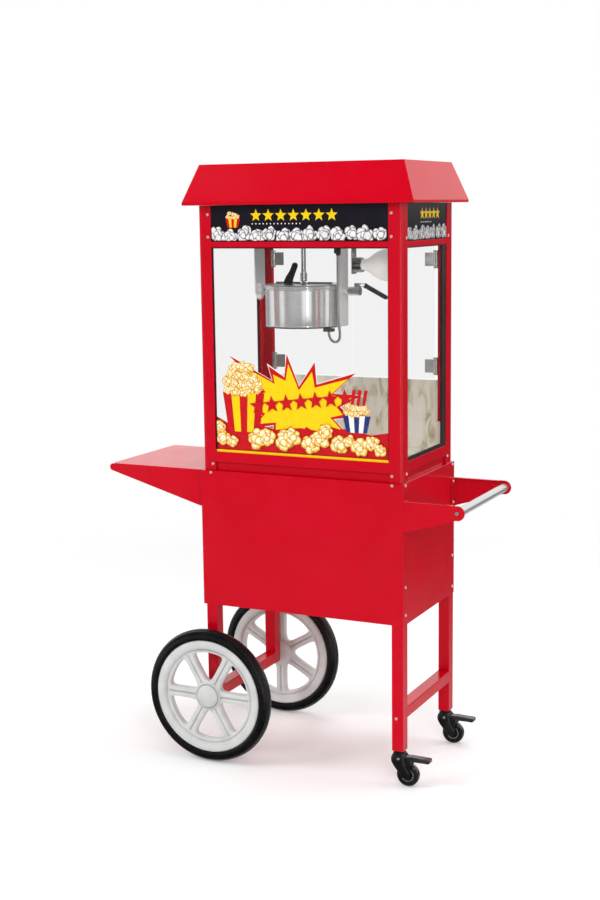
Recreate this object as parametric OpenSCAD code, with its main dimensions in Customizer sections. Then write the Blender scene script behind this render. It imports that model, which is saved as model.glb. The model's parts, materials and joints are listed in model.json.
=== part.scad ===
// Popcorn maker on a wheeled cart: a glazed popping cabinet with a tilting kettle, on a
// steel cart with two large wheels, two braked castors, a fixed side shelf and a push bar.
// Millimetres, +Z up, the cabinet's front faces -Y, the shelf is at -X and the push bar at +X.

/* [Cabinet] */
// Width of the glazed cabinet over its corner posts
cab_w = 544; // [500:2:600]
// Depth of the glazed cabinet over its corner posts
cab_d = 346; // [330:2:400]
// Overall height from floor to roof top
total_h = 1530; // [1500:5:1600]
// Height of the window sill above the floor
sill_z = 812; // [805:1:820]
// Height of the lower edge of the header rail
header_z = 1327; // [1310:1:1335]
// Width of a post seen from the front
post_w = 34; // [30:1:40]
// Width of a post seen from the side
post_side = 39; // [34:1:44]

/* [Roof] */
// Width of the roof at its eaves
roof_w = 618; // [600:2:660]
// Depth of the roof at its eaves
roof_d = 384; // [370:2:420]
// Width of the flat top of the roof
roof_top_w = 548; // [500:2:560]
// Depth of the flat top of the roof
roof_top_d = 322; // [280:2:330]
// Height of the roof above its eaves
roof_h = 100; // [80:2:120]

/* [Kettle] */
// Sideways place of the kettle, from the cabinet's middle
kettle_x = -66; // [-80:1:-50]
// Outer radius of the kettle pot
kettle_r = 98.5; // [90:0.5:102]
// Height of the kettle's tilting axis above the floor
tilt_z = 1213; // [1205:1:1220]

/* [Cart] */
// Width of the cart body
cart_w = 556; // [550:2:600]
// Depth of the cart body
cart_d = 360; // [350:2:420]
// Height of the cart's top above the floor
cart_top_z = 763; // [755:1:770]
// Height of the cart's lower edge above the floor
cart_low_z = 411; // [380:1:450]
// Size of the square leg tubes
leg_s = 30; // [28:1:34]
// How far the side shelf stands out from the cart
shelf_reach = 288; // [200:2:300]
// How far the push bar's centre stands out from the cart
bar_reach = 137; // [100:1:160]

/* [Wheels] */
// Radius of a large wheel over its tyre
tyre_r = 176; // [150:1:180]
// Radius of a large wheel's rim
rim_r = 149; // [130:1:155]
// Width of a large wheel
wheel_w = 36; // [30:1:40]
// Radius of a castor wheel
castor_r = 29; // [25:1:30]

/* [Hidden] */

red = [0.72, 0.02, 0.07];
steel = [0.75, 0.76, 0.77];
black = [0.06, 0.06, 0.06];
clear = [0.85, 0.92, 0.92, 0.35];

sheet = 1.2;                                  // sheet metal thickness
gap = 0.3;                                    // assembly gap between neighbouring pieces
half_w = cab_w / 2;
half_d = cab_d / 2;
cart_x = cart_w / 2;
cart_y = cart_d / 2;
bar_x = cart_x + bar_reach;                   // push bar centre
bar_end_r = 18;                               // round end of a handle arm
mid_x = (shelf_reach - bar_reach - bar_end_r) / 2; // puts the whole object's middle at x = 0

eaves_z = total_h - roof_h;
eaves_lip = 7;
sign_z = header_z + 14;                       // lower edge of the signs
open_x = half_w - post_w;                     // half width of the front window
open_y = half_d - post_side;                  // half depth of the side windows
rail_t = 12;                                  // thickness of the rails
band_in = 6;                                  // how far the dark band sits back
band_z = 786;                                 // upper edge of the band under the front rail
glass_t = 4;
glass_in = 7;                                 // front face of a pane behind the post's face
ceiling_t = 2;
door_z = [980, header_z - 5];                 // lower and upper edge of the doors
door_y = half_d - 14.5;                       // front face of the door glass
hinge_x = half_w - post_w - 8;
hinge_y = door_y + 1.5;
notch_w = 5;                                  // how far the glass is cut back at a hinge
hinge_zs = [1012.5, 1287];                    // heights of the door clips

pot_low = tilt_z - 91;
pot_top = tilt_z + 15;
pot_floor = pot_low + 18;
pot_wall = 2;
cover_z = pot_top + 0.3;
trunnion_r = 7;
trunnion_fit = 0.06;
hanger_l_x = [-193.5, -190.5];                // left hanger plate, from the cabinet's middle
hanger_r_x = [38, 46];                        // right hanger
hanger_w = 54;
drive_z = tilt_z + 23;                        // lower end of the drive shaft's socket
tongue_t = 5;
grip_start = [98, 8, tilt_z + 15];
grip_end = [121.6, 101, 1190];
grip_rod_r = 3;
grip_rod_l = 22;                              // length of the rod inside the grip
pin_end = 88;                                 // free end of the right trunnion

deck_z = 800;
drawer_x = 150;
drawer_z = [767, 795];
switch_xs = [70, 110, 150];
switch_z = 1384;
lamp_y = -60;
lamp_z = 1281;

leg_l_x = -270;                               // outer face of the left legs
side_in = 0.4;                                // side panels sit this far behind the corner flanges
leg_r_x = cart_x - sheet - side_in - leg_s;   // inner face of the right legs
leg_y = cart_y - sheet - leg_s;               // inner face of every leg
leg_t = 1.5;
leg_l_low = 158;
axle_x = -250;
axle_r = 8;
wheel_y = 227;                                // outer face of a large wheel
castor_x = leg_r_x + leg_s / 2;               // swivel axis
castor_y = leg_y + leg_s / 2;
castor_trail = 23;
leg_r_low = 90;
pedal_pivot = [castor_x + 12, 71];            // x and z of a pedal's pin
arm_t = 3;

// Route of the braided lead: down the right hanger's front edge, a small loop, then into the
// terminal box under the kettle
lead_r = 3.4;
lead_path = [[45, -31.5, 1303], [45, -31.5, 1290], [45, -31.6, 1270], [44.8, -31.6, 1250],
    [44.5, -31.7, 1230], [44.2, -31.8, 1210], [44, -32, 1190], [44, -32, 1170], [44.5, -32, 1150],
    [46, -32.5, 1132], [48.5, -33.5, 1116], [50.5, -36.5, 1103], [50.5, -41, 1094],
    [47.5, -46, 1089], [42, -49.5, 1088], [36.5, -50.5, 1090.5], [31.5, -50.5, 1095],
    [28, -50, 1101.5], [26.5, -50, 1108], [26.5, -50, 1115.2]];

module at_cab() { translate([mid_x, 0, 0]) children(); }
module mirror_x() { children(); mirror([1, 0, 0]) children(); }
module mirror_y() { children(); mirror([0, 1, 0]) children(); }
// A box given by its lowest and highest corners
module span(a, b) { translate(a) cube([b[0] - a[0], b[1] - a[1], b[2] - a[2]]); }
// A rod along X, Y or Z starting at a point
module rod_x(p, r, l) { translate(p) rotate([0, 90, 0]) cylinder(r = r, h = l, $fn = 48); }
module rod_y(p, r, l) { translate(p) rotate([-90, 0, 0]) cylinder(r = r, h = l, $fn = 48); }
module rod_z(p, r, l) { translate(p) cylinder(r = r, h = l, $fn = 48); }
// A flat rounded rectangle
module rounded(w, d, r) {
    union() {
        square([w - 2 * r, d], center = true);
        square([w, d - 2 * r], center = true);
        for (x = [-1, 1], y = [-1, 1])
            translate([x * (w / 2 - r), y * (d / 2 - r)]) circle(r = r, $fn = 48);
    }
}

// Vectors for sweeping the lead
function unit(v) = v / norm(v);
function tangent(p, i) = unit(p[min(i + 1, len(p) - 1)] - p[max(i - 1, 0)]);
function side_of(t) = unit(cross(t, [1, 0.2, 0]));
function ring(p, i, r, n) = let (t = tangent(p, i), a = side_of(t), b = cross(t, a))
    [for (k = [0:n - 1]) p[i] + r * (cos(360 * k / n) * a + sin(360 * k / n) * b)];
module swept(p, r, n) {
    count = len(p);
    points = [for (i = [0:count - 1]) each ring(p, i, r, n)];
    sides = [for (i = [0:count - 2], k = [0:n - 1]) let (m = (k + 1) % n)
        [i * n + k, i * n + m, (i + 1) * n + m, (i + 1) * n + k]];
    ends = [[for (k = [n - 1:-1:0]) k], [for (k = [0:n - 1]) (count - 1) * n + k]];
    polyhedron(points = points, faces = concat([for (f = concat(sides, ends))
        [for (j = [len(f) - 1:-1:0]) f[j]]]), convexity = 4);
}

// ---------- cabinet ----------

// Solid hipped roof block; inset makes the hollow
module roof_block(inset) {
    hull() {
        translate([0, 0, eaves_z + eaves_lip]) linear_extrude(0.01)
            square([roof_w - 2 * inset, roof_d - 2 * inset], center = true);
        translate([0, 0, total_h - inset - 0.01]) linear_extrude(0.01)
            square([roof_top_w - inset, roof_top_d - inset], center = true);
    }
}
module roof() {
    t = 2;
    color(red) at_cab() difference() {
        union() {
            roof_block(0);
            translate([0, 0, eaves_z]) linear_extrude(eaves_lip + 0.005) rounded(roof_w, roof_d, 3);
        }
        roof_block(t);
        translate([0, 0, eaves_z + t]) linear_extrude(eaves_lip)
            rounded(roof_w - 2 * t, roof_d - 2 * t, 1.5);
        translate([0, 0, eaves_z - 1]) linear_extrude(t + 2)
            square([cab_w - 2 * post_w, cab_d - 2 * post_side], center = true);
    }
}

// One corner post's section, its outer corner at the origin and its wings along +X and +Y
module post_section() {
    wing = 13;
    r = 6;
    groove = 1.4;
    groove_at = 10.5;
    difference() {
        union() {
            translate([r, r]) circle(r = r, $fn = 48);
            translate([r, 0]) square([post_w - r, wing]);
            translate([0, r]) square([wing, post_side - r]);
            translate([r / 2, r / 2]) square([wing - r / 2, wing - r / 2]);
        }
        translate([groove_at, -1]) square([groove, 2]);
        translate([-1, groove_at]) square([2, groove]);
    }
}
module corner_posts() {
    color(red) at_cab() mirror_x() mirror_y() translate([-half_w, -half_d, cart_top_z])
        linear_extrude(eaves_z - cart_top_z - gap) post_section();
}
module sign_panels() {
    t = 4;
    inset = 2;
    top = eaves_z - 0.4;
    color(black) at_cab() {
        span([-open_x + gap, -half_d + inset, sign_z], [open_x - gap, -half_d + inset + t, top]);
        mirror_x() span([half_w - inset - t, -open_y + gap, sign_z],
                        [half_w - inset, open_y - gap, top]);
    }
}
module header_rails() {
    z0 = header_z;
    color(red) at_cab() {
        mirror_y() difference() {
            span([-open_x + gap, -half_d, z0], [open_x - gap, -half_d + rail_t, sign_z - gap]);
            span([-open_x, -half_d + glass_in - 0.1, z0 - 1],
                 [open_x, -half_d + glass_in + glass_t + 0.1, z0 + 8]);
        }
        mirror_x() difference() {
            span([half_w - rail_t, -open_y + gap, z0], [half_w, open_y - gap, sign_z - gap]);
            span([half_w - glass_in - glass_t - 0.1, -open_y, z0 - 1],
                 [half_w - glass_in + 0.1, open_y, z0 + 8]);
        }
    }
}
module control_panel() {
    y1 = half_d - 1;
    color(red) at_cab() {
        difference() {
            span([-open_x + gap, y1 - sheet, sign_z], [open_x - gap, y1, eaves_z - 3]);
            for (x = switch_xs)
                span([x - 8.2, y1 - 5, switch_z - 14.2], [x + 8.2, y1 + 5, switch_z + 14.2]);
            span([-150, y1 - 5, switch_z - 14], [-102, y1 + 5, switch_z + 14]);
        }
        // rocker housings
        for (x = switch_xs) difference() {
            span([x - 10, y1, switch_z - 16], [x + 10, y1 + 1.6, switch_z + 16]);
            span([x - 8.2, y1 - 1, switch_z - 14.2], [x + 8.2, y1 + 5, switch_z + 14.2]);
        }
    }
}
module ceiling_plate() {
    x1 = half_w - 14;
    y1 = half_d - 14;
    z0 = header_z + 8.5;
    color(steel) at_cab() difference() {
        span([-x1, -y1, z0], [x1, y1, z0 + ceiling_t]);
        rod_z([kettle_x, 0, z0 - 1], 9, 5);
    }
}
// Lower rails, four separate pieces; the rear one leaves room for the drawer
module base_rails() {
    z0 = cart_top_z + gap;
    color(red) at_cab() {
        difference() {
            union() {
                span([-open_x + gap, -half_d, band_z], [open_x - gap, -half_d + rail_t, sill_z]);
                span([-open_x + gap, -half_d + band_in, z0], [open_x - gap, -half_d + rail_t, band_z]);
            }
            span([-open_x, -half_d + glass_in - 0.1, sill_z - 8],
                 [open_x, -half_d + glass_in + glass_t + 0.1, sill_z + 1]);
        }
        mirror_x() difference() {
            union() {
                span([half_w - rail_t, -open_y + gap, band_z], [half_w, open_y - gap, sill_z]);
                span([half_w - rail_t, -open_y + gap, z0], [half_w - band_in, open_y - gap, band_z]);
            }
            span([half_w - glass_in - glass_t - 0.1, -open_y, sill_z - 8],
                 [half_w - glass_in + 0.1, open_y, sill_z + 1]);
        }
        difference() {
            span([-open_x + gap, half_d - rail_t, z0], [open_x - gap, half_d, sill_z]);
            span([-drawer_x - 2, half_d - 40, drawer_z[0] - 2],
                 [drawer_x + 2, half_d + 5, drawer_z[1] + 2]);
        }
    }
}
// Stainless floor of the cabinet with sifting slots and a rear upstand
module popcorn_deck() {
    t = 1.5;
    x1 = half_w - 14;
    y1 = half_d - 14;
    upstand_z = 869;
    lip_z = drawer_z[0] - 0.3 - sheet;
    slot_rows = 4;
    slot_count = 14;
    slot_pitch = [17, 40];
    color(steel) at_cab() {
        difference() {
            union() {
                span([-x1, -y1, deck_z - t], [x1, y1, deck_z]);
                span([-x1, y1 - t, deck_z - t], [x1, y1, upstand_z]);
                // runners that carry the drawer
                mirror_x() {
                    span([drawer_x + 1, -105, lip_z], [drawer_x + 2.2, y1 - 2, deck_z - t / 2]);
                    span([drawer_x - 10, -105, lip_z], [drawer_x + 2.2, y1 - 2, lip_z + sheet]);
                }
            }
            for (i = [0:slot_count - 1], j = [0:slot_rows - 1])
                translate([slot_pitch[0] * (i - (slot_count - 1) / 2), slot_pitch[1] * (j - 1.2), deck_z])
                    cube([6, 28, 6], center = true);
        }
    }
}
module crumb_drawer() {
    t = 1.2;
    y0 = -110;
    y1 = half_d - 2;
    z0 = drawer_z[0];
    z1 = drawer_z[1];
    x1 = drawer_x;
    color(steel) at_cab() {
        difference() {
            span([-x1, y0, z0], [x1, y1, z1]);
            span([-x1 + t, y0 + t, z0 + t], [x1 - t, y1 - t, z1 + 1]);
        }
        // pull handle on the drawer's front
        difference() {
            span([-40, y1, z0 + 6], [40, y1 + 12, z0 + 22]);
            span([-37, y1 - 1, z0 + 8], [37, y1 + 9, z0 + 20]);
            span([-37, y1 - 1, z0 + 5], [37, y1 + 9, z0 + 10]);
        }
    }
}
module rear_lower_panel() {
    y1 = half_d - 10;
    z1 = door_z[0] - 4;
    color(steel) at_cab() {
        span([-open_x + gap, y1 - sheet, sill_z + gap], [open_x - gap, y1, z1]);
        span([-open_x + gap, y1, z1 - 12], [open_x - gap, y1 + 3, z1]);
    }
}
module front_glass() {
    color(clear) at_cab() span([-open_x + 0.5, -half_d + glass_in, sill_z - 7.5],
        [open_x - 0.5, -half_d + glass_in + glass_t, header_z + 7.5]);
}
module side_glass() {
    color(clear) at_cab() mirror_x() span([half_w - glass_in - glass_t, -open_y + 0.5, sill_z - 7.5],
        [half_w - glass_in, open_y - 0.5, header_z + 7.5]);
}
// Strip round a side window's pane, outside the glass, wide at the sill; rear_w is its width
// along the rear post
module side_gasket(rear_w) {
    sill_w = 9;
    front_w = 3;
    difference() {
        span([half_w - glass_in + 0.1, -open_y + gap, sill_z + 0.1],
             [half_w - 2.5, open_y - gap, header_z - 0.1]);
        span([half_w - glass_in - 1, -open_y + front_w, sill_z + sill_w],
             [half_w, open_y - rear_w, header_z - front_w]);
    }
}
module window_gaskets() {
    v = 3;
    color(black) at_cab() {
        side_gasket(28);
        mirror([1, 0, 0]) side_gasket(v);
        difference() {
            span([-open_x + gap, -half_d + 3.5, sill_z + 0.1],
                 [open_x - gap, -half_d + glass_in - 0.1, header_z - 0.1]);
            span([-open_x + v, -half_d, sill_z + v], [open_x - v, -half_d + glass_in + 1, header_z - v]);
        }
    }
}
// Right hand door; the left one is its mirror image
module door_pane() {
    difference() {
        span([1.5, door_y, door_z[0]], [open_x - 9, door_y + glass_t, door_z[1]]);
        // notches that clear the hinges
        for (z = hinge_zs)
            span([hinge_x - notch_w, door_y - 1, z - 25], [hinge_x, door_y + glass_t + 1, z + 25]);
    }
}
module door_fittings() {
    clip_h = 34;
    for (z = hinge_zs) difference() {
        union() {
            span([hinge_x - 26, door_y - 2, z - clip_h / 2],
                 [hinge_x - 3, door_y + glass_t + 2, z + clip_h / 2]);
            rod_z([hinge_x, hinge_y, z - clip_h / 2], 4, clip_h);
            span([hinge_x - 4, hinge_y - 2, z - clip_h / 2], [hinge_x, hinge_y + 2, z + clip_h / 2]);
        }
        span([hinge_x - 30, door_y - 0.05, z - clip_h],
             [hinge_x - notch_w + 0.05, door_y + glass_t + 0.05, z + clip_h]);
        rod_z([hinge_x, hinge_y, z - clip_h], 2.05, 2 * clip_h);
    }
}
module door_left_glass() { color(clear) at_cab() mirror([1, 0, 0]) door_pane(); }
module door_right_glass() { color(clear) at_cab() door_pane(); }
module door_left_fittings() { color(steel) at_cab() mirror([1, 0, 0]) door_fittings(); }
module door_right_fittings() { color(steel) at_cab() door_fittings(); }
// Leaves on the rear posts, each with two lugs and a pin through the door's clip
module door_hinge_leaves() {
    h = 23;
    color(steel) at_cab() mirror_x() for (z = hinge_zs) union() {
        span([open_x - 2, hinge_y - 4, z - h], [open_x - 0.05, hinge_y + 8, z + h]);
        for (s = [-1, 1]) {
            zc = z + s * 20.5;
            span([hinge_x, hinge_y - 4, zc - 2.5], [open_x - 1, hinge_y + 4, zc + 2.5]);
            rod_z([hinge_x, hinge_y, zc - 2.5], 4, 5);
        }
        rod_z([hinge_x, hinge_y, z - h], 2, 2 * h);
    }
}

// ---------- drive ----------

module motor() {
    z0 = header_z + 8.5 + ceiling_t;
    color("dimgray") at_cab() difference() {
        union() {
            span([kettle_x - 35, -30, z0 + 0.2], [kettle_x + 55, 30, z0 + 34]);
            rod_x([kettle_x + 55, 0, z0 + 30], 24, 62);
            rod_x([kettle_x + 117, 0, z0 + 30], 20, 8);
            for (x = [-45, 55], y = [-24, 16])
                span([kettle_x + x, y, z0 + 0.2], [kettle_x + x + 10, y + 8, z0 + 3]);
        }
        rod_z([kettle_x, 0, z0 - 1], 6.06, 27);
    }
}
// Driven shaft with a slotted socket at its lower end
module drive_shaft() {
    socket_h = 22;
    slot = tongue_t + 0.8;
    z1 = header_z + 8.5 + ceiling_t + 24;
    color(steel) at_cab() difference() {
        union() {
            rod_z([kettle_x, 0, drive_z], 8.5, socket_h);
            rod_z([kettle_x, 0, drive_z + socket_h - 1], 6, z1 - drive_z - socket_h + 1);
        }
        span([kettle_x - slot / 2, -12, drive_z - 1], [kettle_x + slot / 2, 12, drive_z + 10]);
    }
}

// ---------- kettle ----------

module kettle_pot() {
    r = kettle_r;
    bead = 2.5;
    color(steel) at_cab() {
        difference() {
            union() {
                translate([kettle_x, 0, 0]) rotate_extrude($fn = 96) polygon([[0, pot_floor],
                    [r - pot_wall, pot_floor], [r - pot_wall, pot_low + 2.2], [r, pot_low + 2.2],
                    [r, pot_top - 7], [r + bead, pot_top - 5], [r + bead, pot_top - 1],
                    [r + bead - 1, pot_top], [r - pot_wall, pot_top], [r - pot_wall, pot_floor + 3],
                    [9, pot_floor + 3], [9, pot_floor + 9], [0, pot_floor + 9]]);
                // trunnion pads and pins
                span([kettle_x - r - 5, -14, tilt_z - 14], [kettle_x - r + 1.2, 14, tilt_z + 5]);
                span([kettle_x + r - 1.2, -14, tilt_z - 14], [kettle_x + r + 3.5, 14, tilt_z + 5]);
                rod_x([hanger_l_x[0] - 6, 0, tilt_z], trunnion_r, kettle_x - r - hanger_l_x[0] + 4);
                rod_x([kettle_x + r + 2, 0, tilt_z], trunnion_r, pin_end - kettle_x - r - 2);
            }
            rod_z([kettle_x, 0, pot_floor + 5], 4.05, 10);
        }
    }
}
// Cast heater disc and the cover plate that closes the kettle's underside, with its terminal box
module kettle_heater() {
    color("gray") at_cab() {
        rod_z([kettle_x, 0, pot_low + 7], 86, 10.8);
        difference() {
            union() {
                rod_z([kettle_x, 0, pot_low], kettle_r, 2);
                span([15, -60, pot_low - 8], [38, -40, pot_low]);
            }
            span([16.5, -58.5, pot_low - 6.5], [36.5, -41.5, pot_low - 1]);
            rod_z([26.5, -50, pot_low - 9], lead_r + 0.1, 4);
        }
    }
}
// Fixed rear half of the lid with the slot that lets the drive shaft out as the kettle tilts
module kettle_cover() {
    r = kettle_r + 1;
    color(steel) at_cab() difference() {
        union() {
            intersection() {
                rod_z([kettle_x, 0, cover_z], r, 1.6);
                span([kettle_x - r, 5.5, cover_z - 1], [kettle_x + r, r, cover_z + 3]);
            }
            for (s = [-1, 1]) {
                xs = kettle_x + s * 45;
                rod_x([xs - 34, 2, cover_z + 3.2], 1.9, 68);
                for (k = [-34, 26]) {
                    rod_x([xs + k, 2, cover_z + 3.2], 3.2, 8);
                    span([xs + k, 2, cover_z + 0.4], [xs + k + 8, 10, cover_z + 2]);
                }
            }
        }
        span([kettle_x - 10, -20, cover_z - 1], [kettle_x + 10, r + 5, cover_z + 8]);
    }
}
// Front half of the lid, swings up about the bar between the halves
module kettle_flap() {
    r = kettle_r + 1;
    color(steel) at_cab() difference() {
        union() {
            intersection() {
                rod_z([kettle_x, 0, cover_z], r, 1.6);
                span([kettle_x - r, -r, cover_z - 1], [kettle_x + r, -2.2, cover_z + 3]);
            }
            for (s = [-1, 1]) {
                rod_x([kettle_x + s * 45 - 25.5, 2, cover_z + 3.2], 3.2, 51);
                span([kettle_x + s * 45 - 25.5, -6, cover_z + 0.4],
                     [kettle_x + s * 45 + 25.5, 2, cover_z + 2]);
            }
        }
        for (s = [-1, 1]) rod_x([kettle_x + s * 45 - 40, 2, cover_z + 3.2], 1.95, 80);
        // room for the drive shaft as the flap swings up
        rod_z([kettle_x, -20, cover_z - 3], 11, 12);
        span([kettle_x - 11, -20, cover_z - 3], [kettle_x + 11, 5, cover_z + 9]);
    }
}
// Bakelite lever on the flap
module flap_lever() {
    z0 = cover_z + 1.65;
    color(black) at_cab() translate([-108, -15, z0]) rotate([90, 0, 0]) linear_extrude(9) union() {
        polygon([[-4, 0], [24, 0], [22, 4], [33, 44], [23, 52], [8, 28], [0, 10]]);
        translate([27, 48]) circle(r = 6.5, $fn = 32);
    }
}
module stirrer() {
    z0 = pot_floor + 5.4;
    color(steel) at_cab() {
        rod_z([kettle_x, 0, z0], 4, 6);
        rod_z([kettle_x, 0, z0 + 5], 5, drive_z - 2 - z0 - 5);
        span([kettle_x - tongue_t / 2, -4.5, drive_z - 3], [kettle_x + tongue_t / 2, 4.5, drive_z + 6]);
        // sweep arms just above the pot's floor
        span([kettle_x - 88, -4, pot_floor + 12], [kettle_x + 88, 4, pot_floor + 15]);
        mirror_y() span([kettle_x - 3, 0, pot_floor + 12], [kettle_x + 3, 60, pot_floor + 15]);
    }
}
module hanger_left() {
    x0 = hanger_l_x[0];
    x1 = hanger_l_x[1];
    color(steel) at_cab() difference() {
        union() {
            span([x0, -hanger_w / 2, tilt_z - 8], [x1, hanger_w / 2, header_z + 8.3]);
            rod_x([x0, 0, tilt_z - 4], 22, x1 - x0);
            span([x0 - 18, -hanger_w / 2, header_z + 5.3], [x1, hanger_w / 2, header_z + 8.3]);
            rod_x([x0 - 4, 0, tilt_z], 14, 18);
            // clamp screw lugs
            span([x1, -20, tilt_z + 8], [x1 + 12, -8, tilt_z + 18]);
            span([x1, -20, tilt_z - 20], [x1 + 12, -8, tilt_z - 10]);
        }
        rod_x([x0 - 10, 0, tilt_z], trunnion_r + trunnion_fit, 40);
    }
}
module hanger_right() {
    x0 = hanger_r_x[0];
    x1 = hanger_r_x[1];
    z0 = tilt_z - 89;
    color(steel) at_cab() difference() {
        union() {
            difference() {
                span([x0, -hanger_w / 2, z0], [x1, hanger_w / 2, header_z + 8.3]);
                span([x0 + 1.5, -hanger_w / 2 + 1.5, z0 - 1], [x1 - 1.5, hanger_w / 2 - 1.5, header_z + 3]);
            }
            span([x1 - 1, -hanger_w / 2, header_z + 5.3], [x1 + 18, hanger_w / 2, header_z + 8.3]);
            rod_x([x0, 0, tilt_z], 14, x1 - x0);
        }
        rod_x([x0 - 10, 0, tilt_z], trunnion_r + trunnion_fit, 30);
    }
}
// Boss clamped on the right trunnion, with the rod that carries the grip
module tilt_arm() {
    x0 = hanger_r_x[1] + 1;
    color(steel) at_cab() {
        difference() {
            union() {
                rod_x([x0 + 14, 0, tilt_z], 11, 30);
                span([x0 + 16, -12, tilt_z - 4], [x0 + 40, 12, tilt_z + 4]);
                span([x0 + 30, -6, tilt_z], [x0 + 44, 6, grip_start[2] + 5]);
                rod_between([x0 + 40, 2, grip_start[2]], grip_start, 4);
            }
            rod_x([x0 - 5, 0, tilt_z], trunnion_r + 0.02, pin_end + 0.1 - x0 + 5);
        }
        rod_between(grip_start, grip_start + grip_rod_l * unit(grip_end - grip_start), grip_rod_r);
    }
}
module rod_between(a, b, r) {
    d = b - a;
    translate(a) rotate([0, acos(d[2] / norm(d)), atan2(d[1], d[0])]) cylinder(r = r, h = norm(d), $fn = 32);
}
// Ribbed black grip on the tilting rod
module tilt_grip() {
    d = grip_end - grip_start;
    l = norm(d);
    rib_0 = 5;
    rib_pitch = 11;
    color(black) at_cab() translate(grip_start)
        rotate([0, acos(d[2] / l), atan2(d[1], d[0])]) difference() {
            rotate_extrude($fn = 32) polygon(concat([[0, rib_0]],
                [for (i = [0:7]) let (z = rib_0 + rib_pitch * i)
                    each [[6.4, z], [6.4, z + 7], [5.4, z + 8], [5.4, z + 10]]],
                [[6.6, l - 6], [4, l], [0, l]]));
            cylinder(r = grip_rod_r + 0.02, h = grip_rod_l + 1, $fn = 32);
        }
}
module kettle_lead() {
    color("silver") at_cab() swept(lead_path, lead_r, 10);
}
// Plug and collar at the ceiling where the braided lead starts
module lead_plug() {
    p = lead_path[0];
    z1 = header_z + 8.3;
    color([0.2, 0.2, 0.2]) at_cab() {
        difference() {
            union() {
                rod_z(p, 5.5, 6);
                rod_z([p[0], p[1] - 4.5, p[2] + 5], 8.5, z1 - p[2] - 5);
            }
            for (a = [0:30:330]) translate([p[0], p[1] - 4.5, p[2]]) rotate(a)
                span([7.8, -0.9, 8], [10, 0.9, 22]);
            span([p[0] - 9, -hanger_w / 2 - 0.2, p[2]], [p[0] + 9, 0, z1 + 1]);
        }
    }
}

// ---------- lamp ----------

module lamp_bracket() {
    x0 = 99;
    color(steel) at_cab() {
        span([x0, lamp_y - 13, lamp_z - 22], [x0 + 2.5, lamp_y + 13, header_z + 8.3]);
        span([x0, lamp_y - 13, header_z + 5.8], [x0 + 22, lamp_y + 13, header_z + 8.3]);
        difference() {
            rod_x([x0 + 2.4, lamp_y, lamp_z], 17, 24);
            rod_x([x0 + 6, lamp_y, lamp_z], 13.5, 30);
        }
    }
}
// Reflector bulb on its screw cap
module lamp_bulb() {
    color([0.9, 0.9, 0.88]) at_cab() translate([105.2, lamp_y, lamp_z]) rotate([0, 90, 0])
        rotate_extrude($fn = 64) polygon([[0, 0], [6, 0.5], [13, 4], [13, 24], [15, 30], [18, 36],
            [24, 44], [31, 54], [36, 65], [39, 78], [40, 90], [39, 98], [36, 105], [28, 111],
            [15, 114.5], [0, 115.5]]);
}

// ---------- controls ----------

module rocker(x) {
    y1 = half_d - 1;
    translate([x, y1, switch_z]) rotate([90, 0, 90]) translate([0, 0, -7.8]) linear_extrude(15.6)
        polygon([[-8, -8], [-8, 8], [-1, 13.4], [2, 13.4], [3.2, 0], [5.8, -12.6], [-1, -13.4]]);
}
module heat_switch() { color(black) at_cab() rocker(switch_xs[0]); }
module motor_switch() { color(black) at_cab() rocker(switch_xs[1]); }
module lamp_switch() { color(black) at_cab() rocker(switch_xs[2]); }
// Mains inlet with its recess and three pins
module power_inlet() {
    y1 = half_d - 1;
    z = switch_z;
    color(black) at_cab() {
        difference() {
            union() {
                span([-152, y1, z - 16], [-100, y1 + 2, z + 16]);
                span([-149.5, y1 - 26, z - 13.5], [-102.5, y1 + 1, z + 13.5]);
            }
            translate([-126, y1 - 18, z]) rotate([-90, 0, 0]) linear_extrude(30)
                polygon([[-12, 8], [-12, -5], [-9, -8], [9, -8], [12, -5], [12, 8]]);
        }
        for (p = [[-7, 2], [0, -3], [7, 2]])
            span([-127 + p[0], y1 - 20, z - 2 - p[1]], [-125 + p[0], y1 - 3, z + 2 - p[1]]);
    }
}

// ---------- cart ----------

module cart_front_panel() {
    f = 28;
    color(red) at_cab() {
        span([-cart_x, -cart_y, cart_low_z], [cart_x, -cart_y + sheet, cart_top_z]);
        mirror_x() span([cart_x - sheet, -cart_y + sheet / 2, cart_low_z],
                        [cart_x, -cart_y + f, cart_top_z]);
        span([-cart_x + 40, -cart_y + sheet / 2, cart_low_z],
             [cart_x - 40, -cart_y + 16, cart_low_z + sheet]);
    }
}
module cart_side_panels() {
    f = 28;
    color(red) at_cab() mirror_x() {
        span([cart_x - sheet - side_in, -cart_y + f + gap, cart_low_z],
             [cart_x - side_in, cart_y, cart_top_z]);
        span([cart_x - 34, cart_y - sheet, cart_low_z], [cart_x - 1, cart_y, cart_top_z]);
        span([cart_x - 16, -cart_y + f + 8, cart_low_z], [cart_x - 1, cart_y - 36, cart_low_z + sheet]);
    }
}
// Floor and top of the storage box
module cart_shelves() {
    x1 = cart_x - 2;
    y1 = cart_y - 1.5;
    color(red) at_cab() {
        difference() {
            span([-x1, -y1, cart_low_z + 1.5], [x1, y1, cart_low_z + 3]);
            mirror_y() {
                span([-x1 - 1, -y1 - 1, cart_low_z], [leg_l_x + leg_s + gap, -leg_y + gap, cart_low_z + 5]);
                span([x1 - leg_s - 1, -y1 - 1, cart_low_z], [x1 + 1, -leg_y + gap, cart_low_z + 5]);
            }
        }
        span([-x1, -y1, cart_top_z - 1.5], [x1, y1, cart_top_z]);
    }
}
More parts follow.
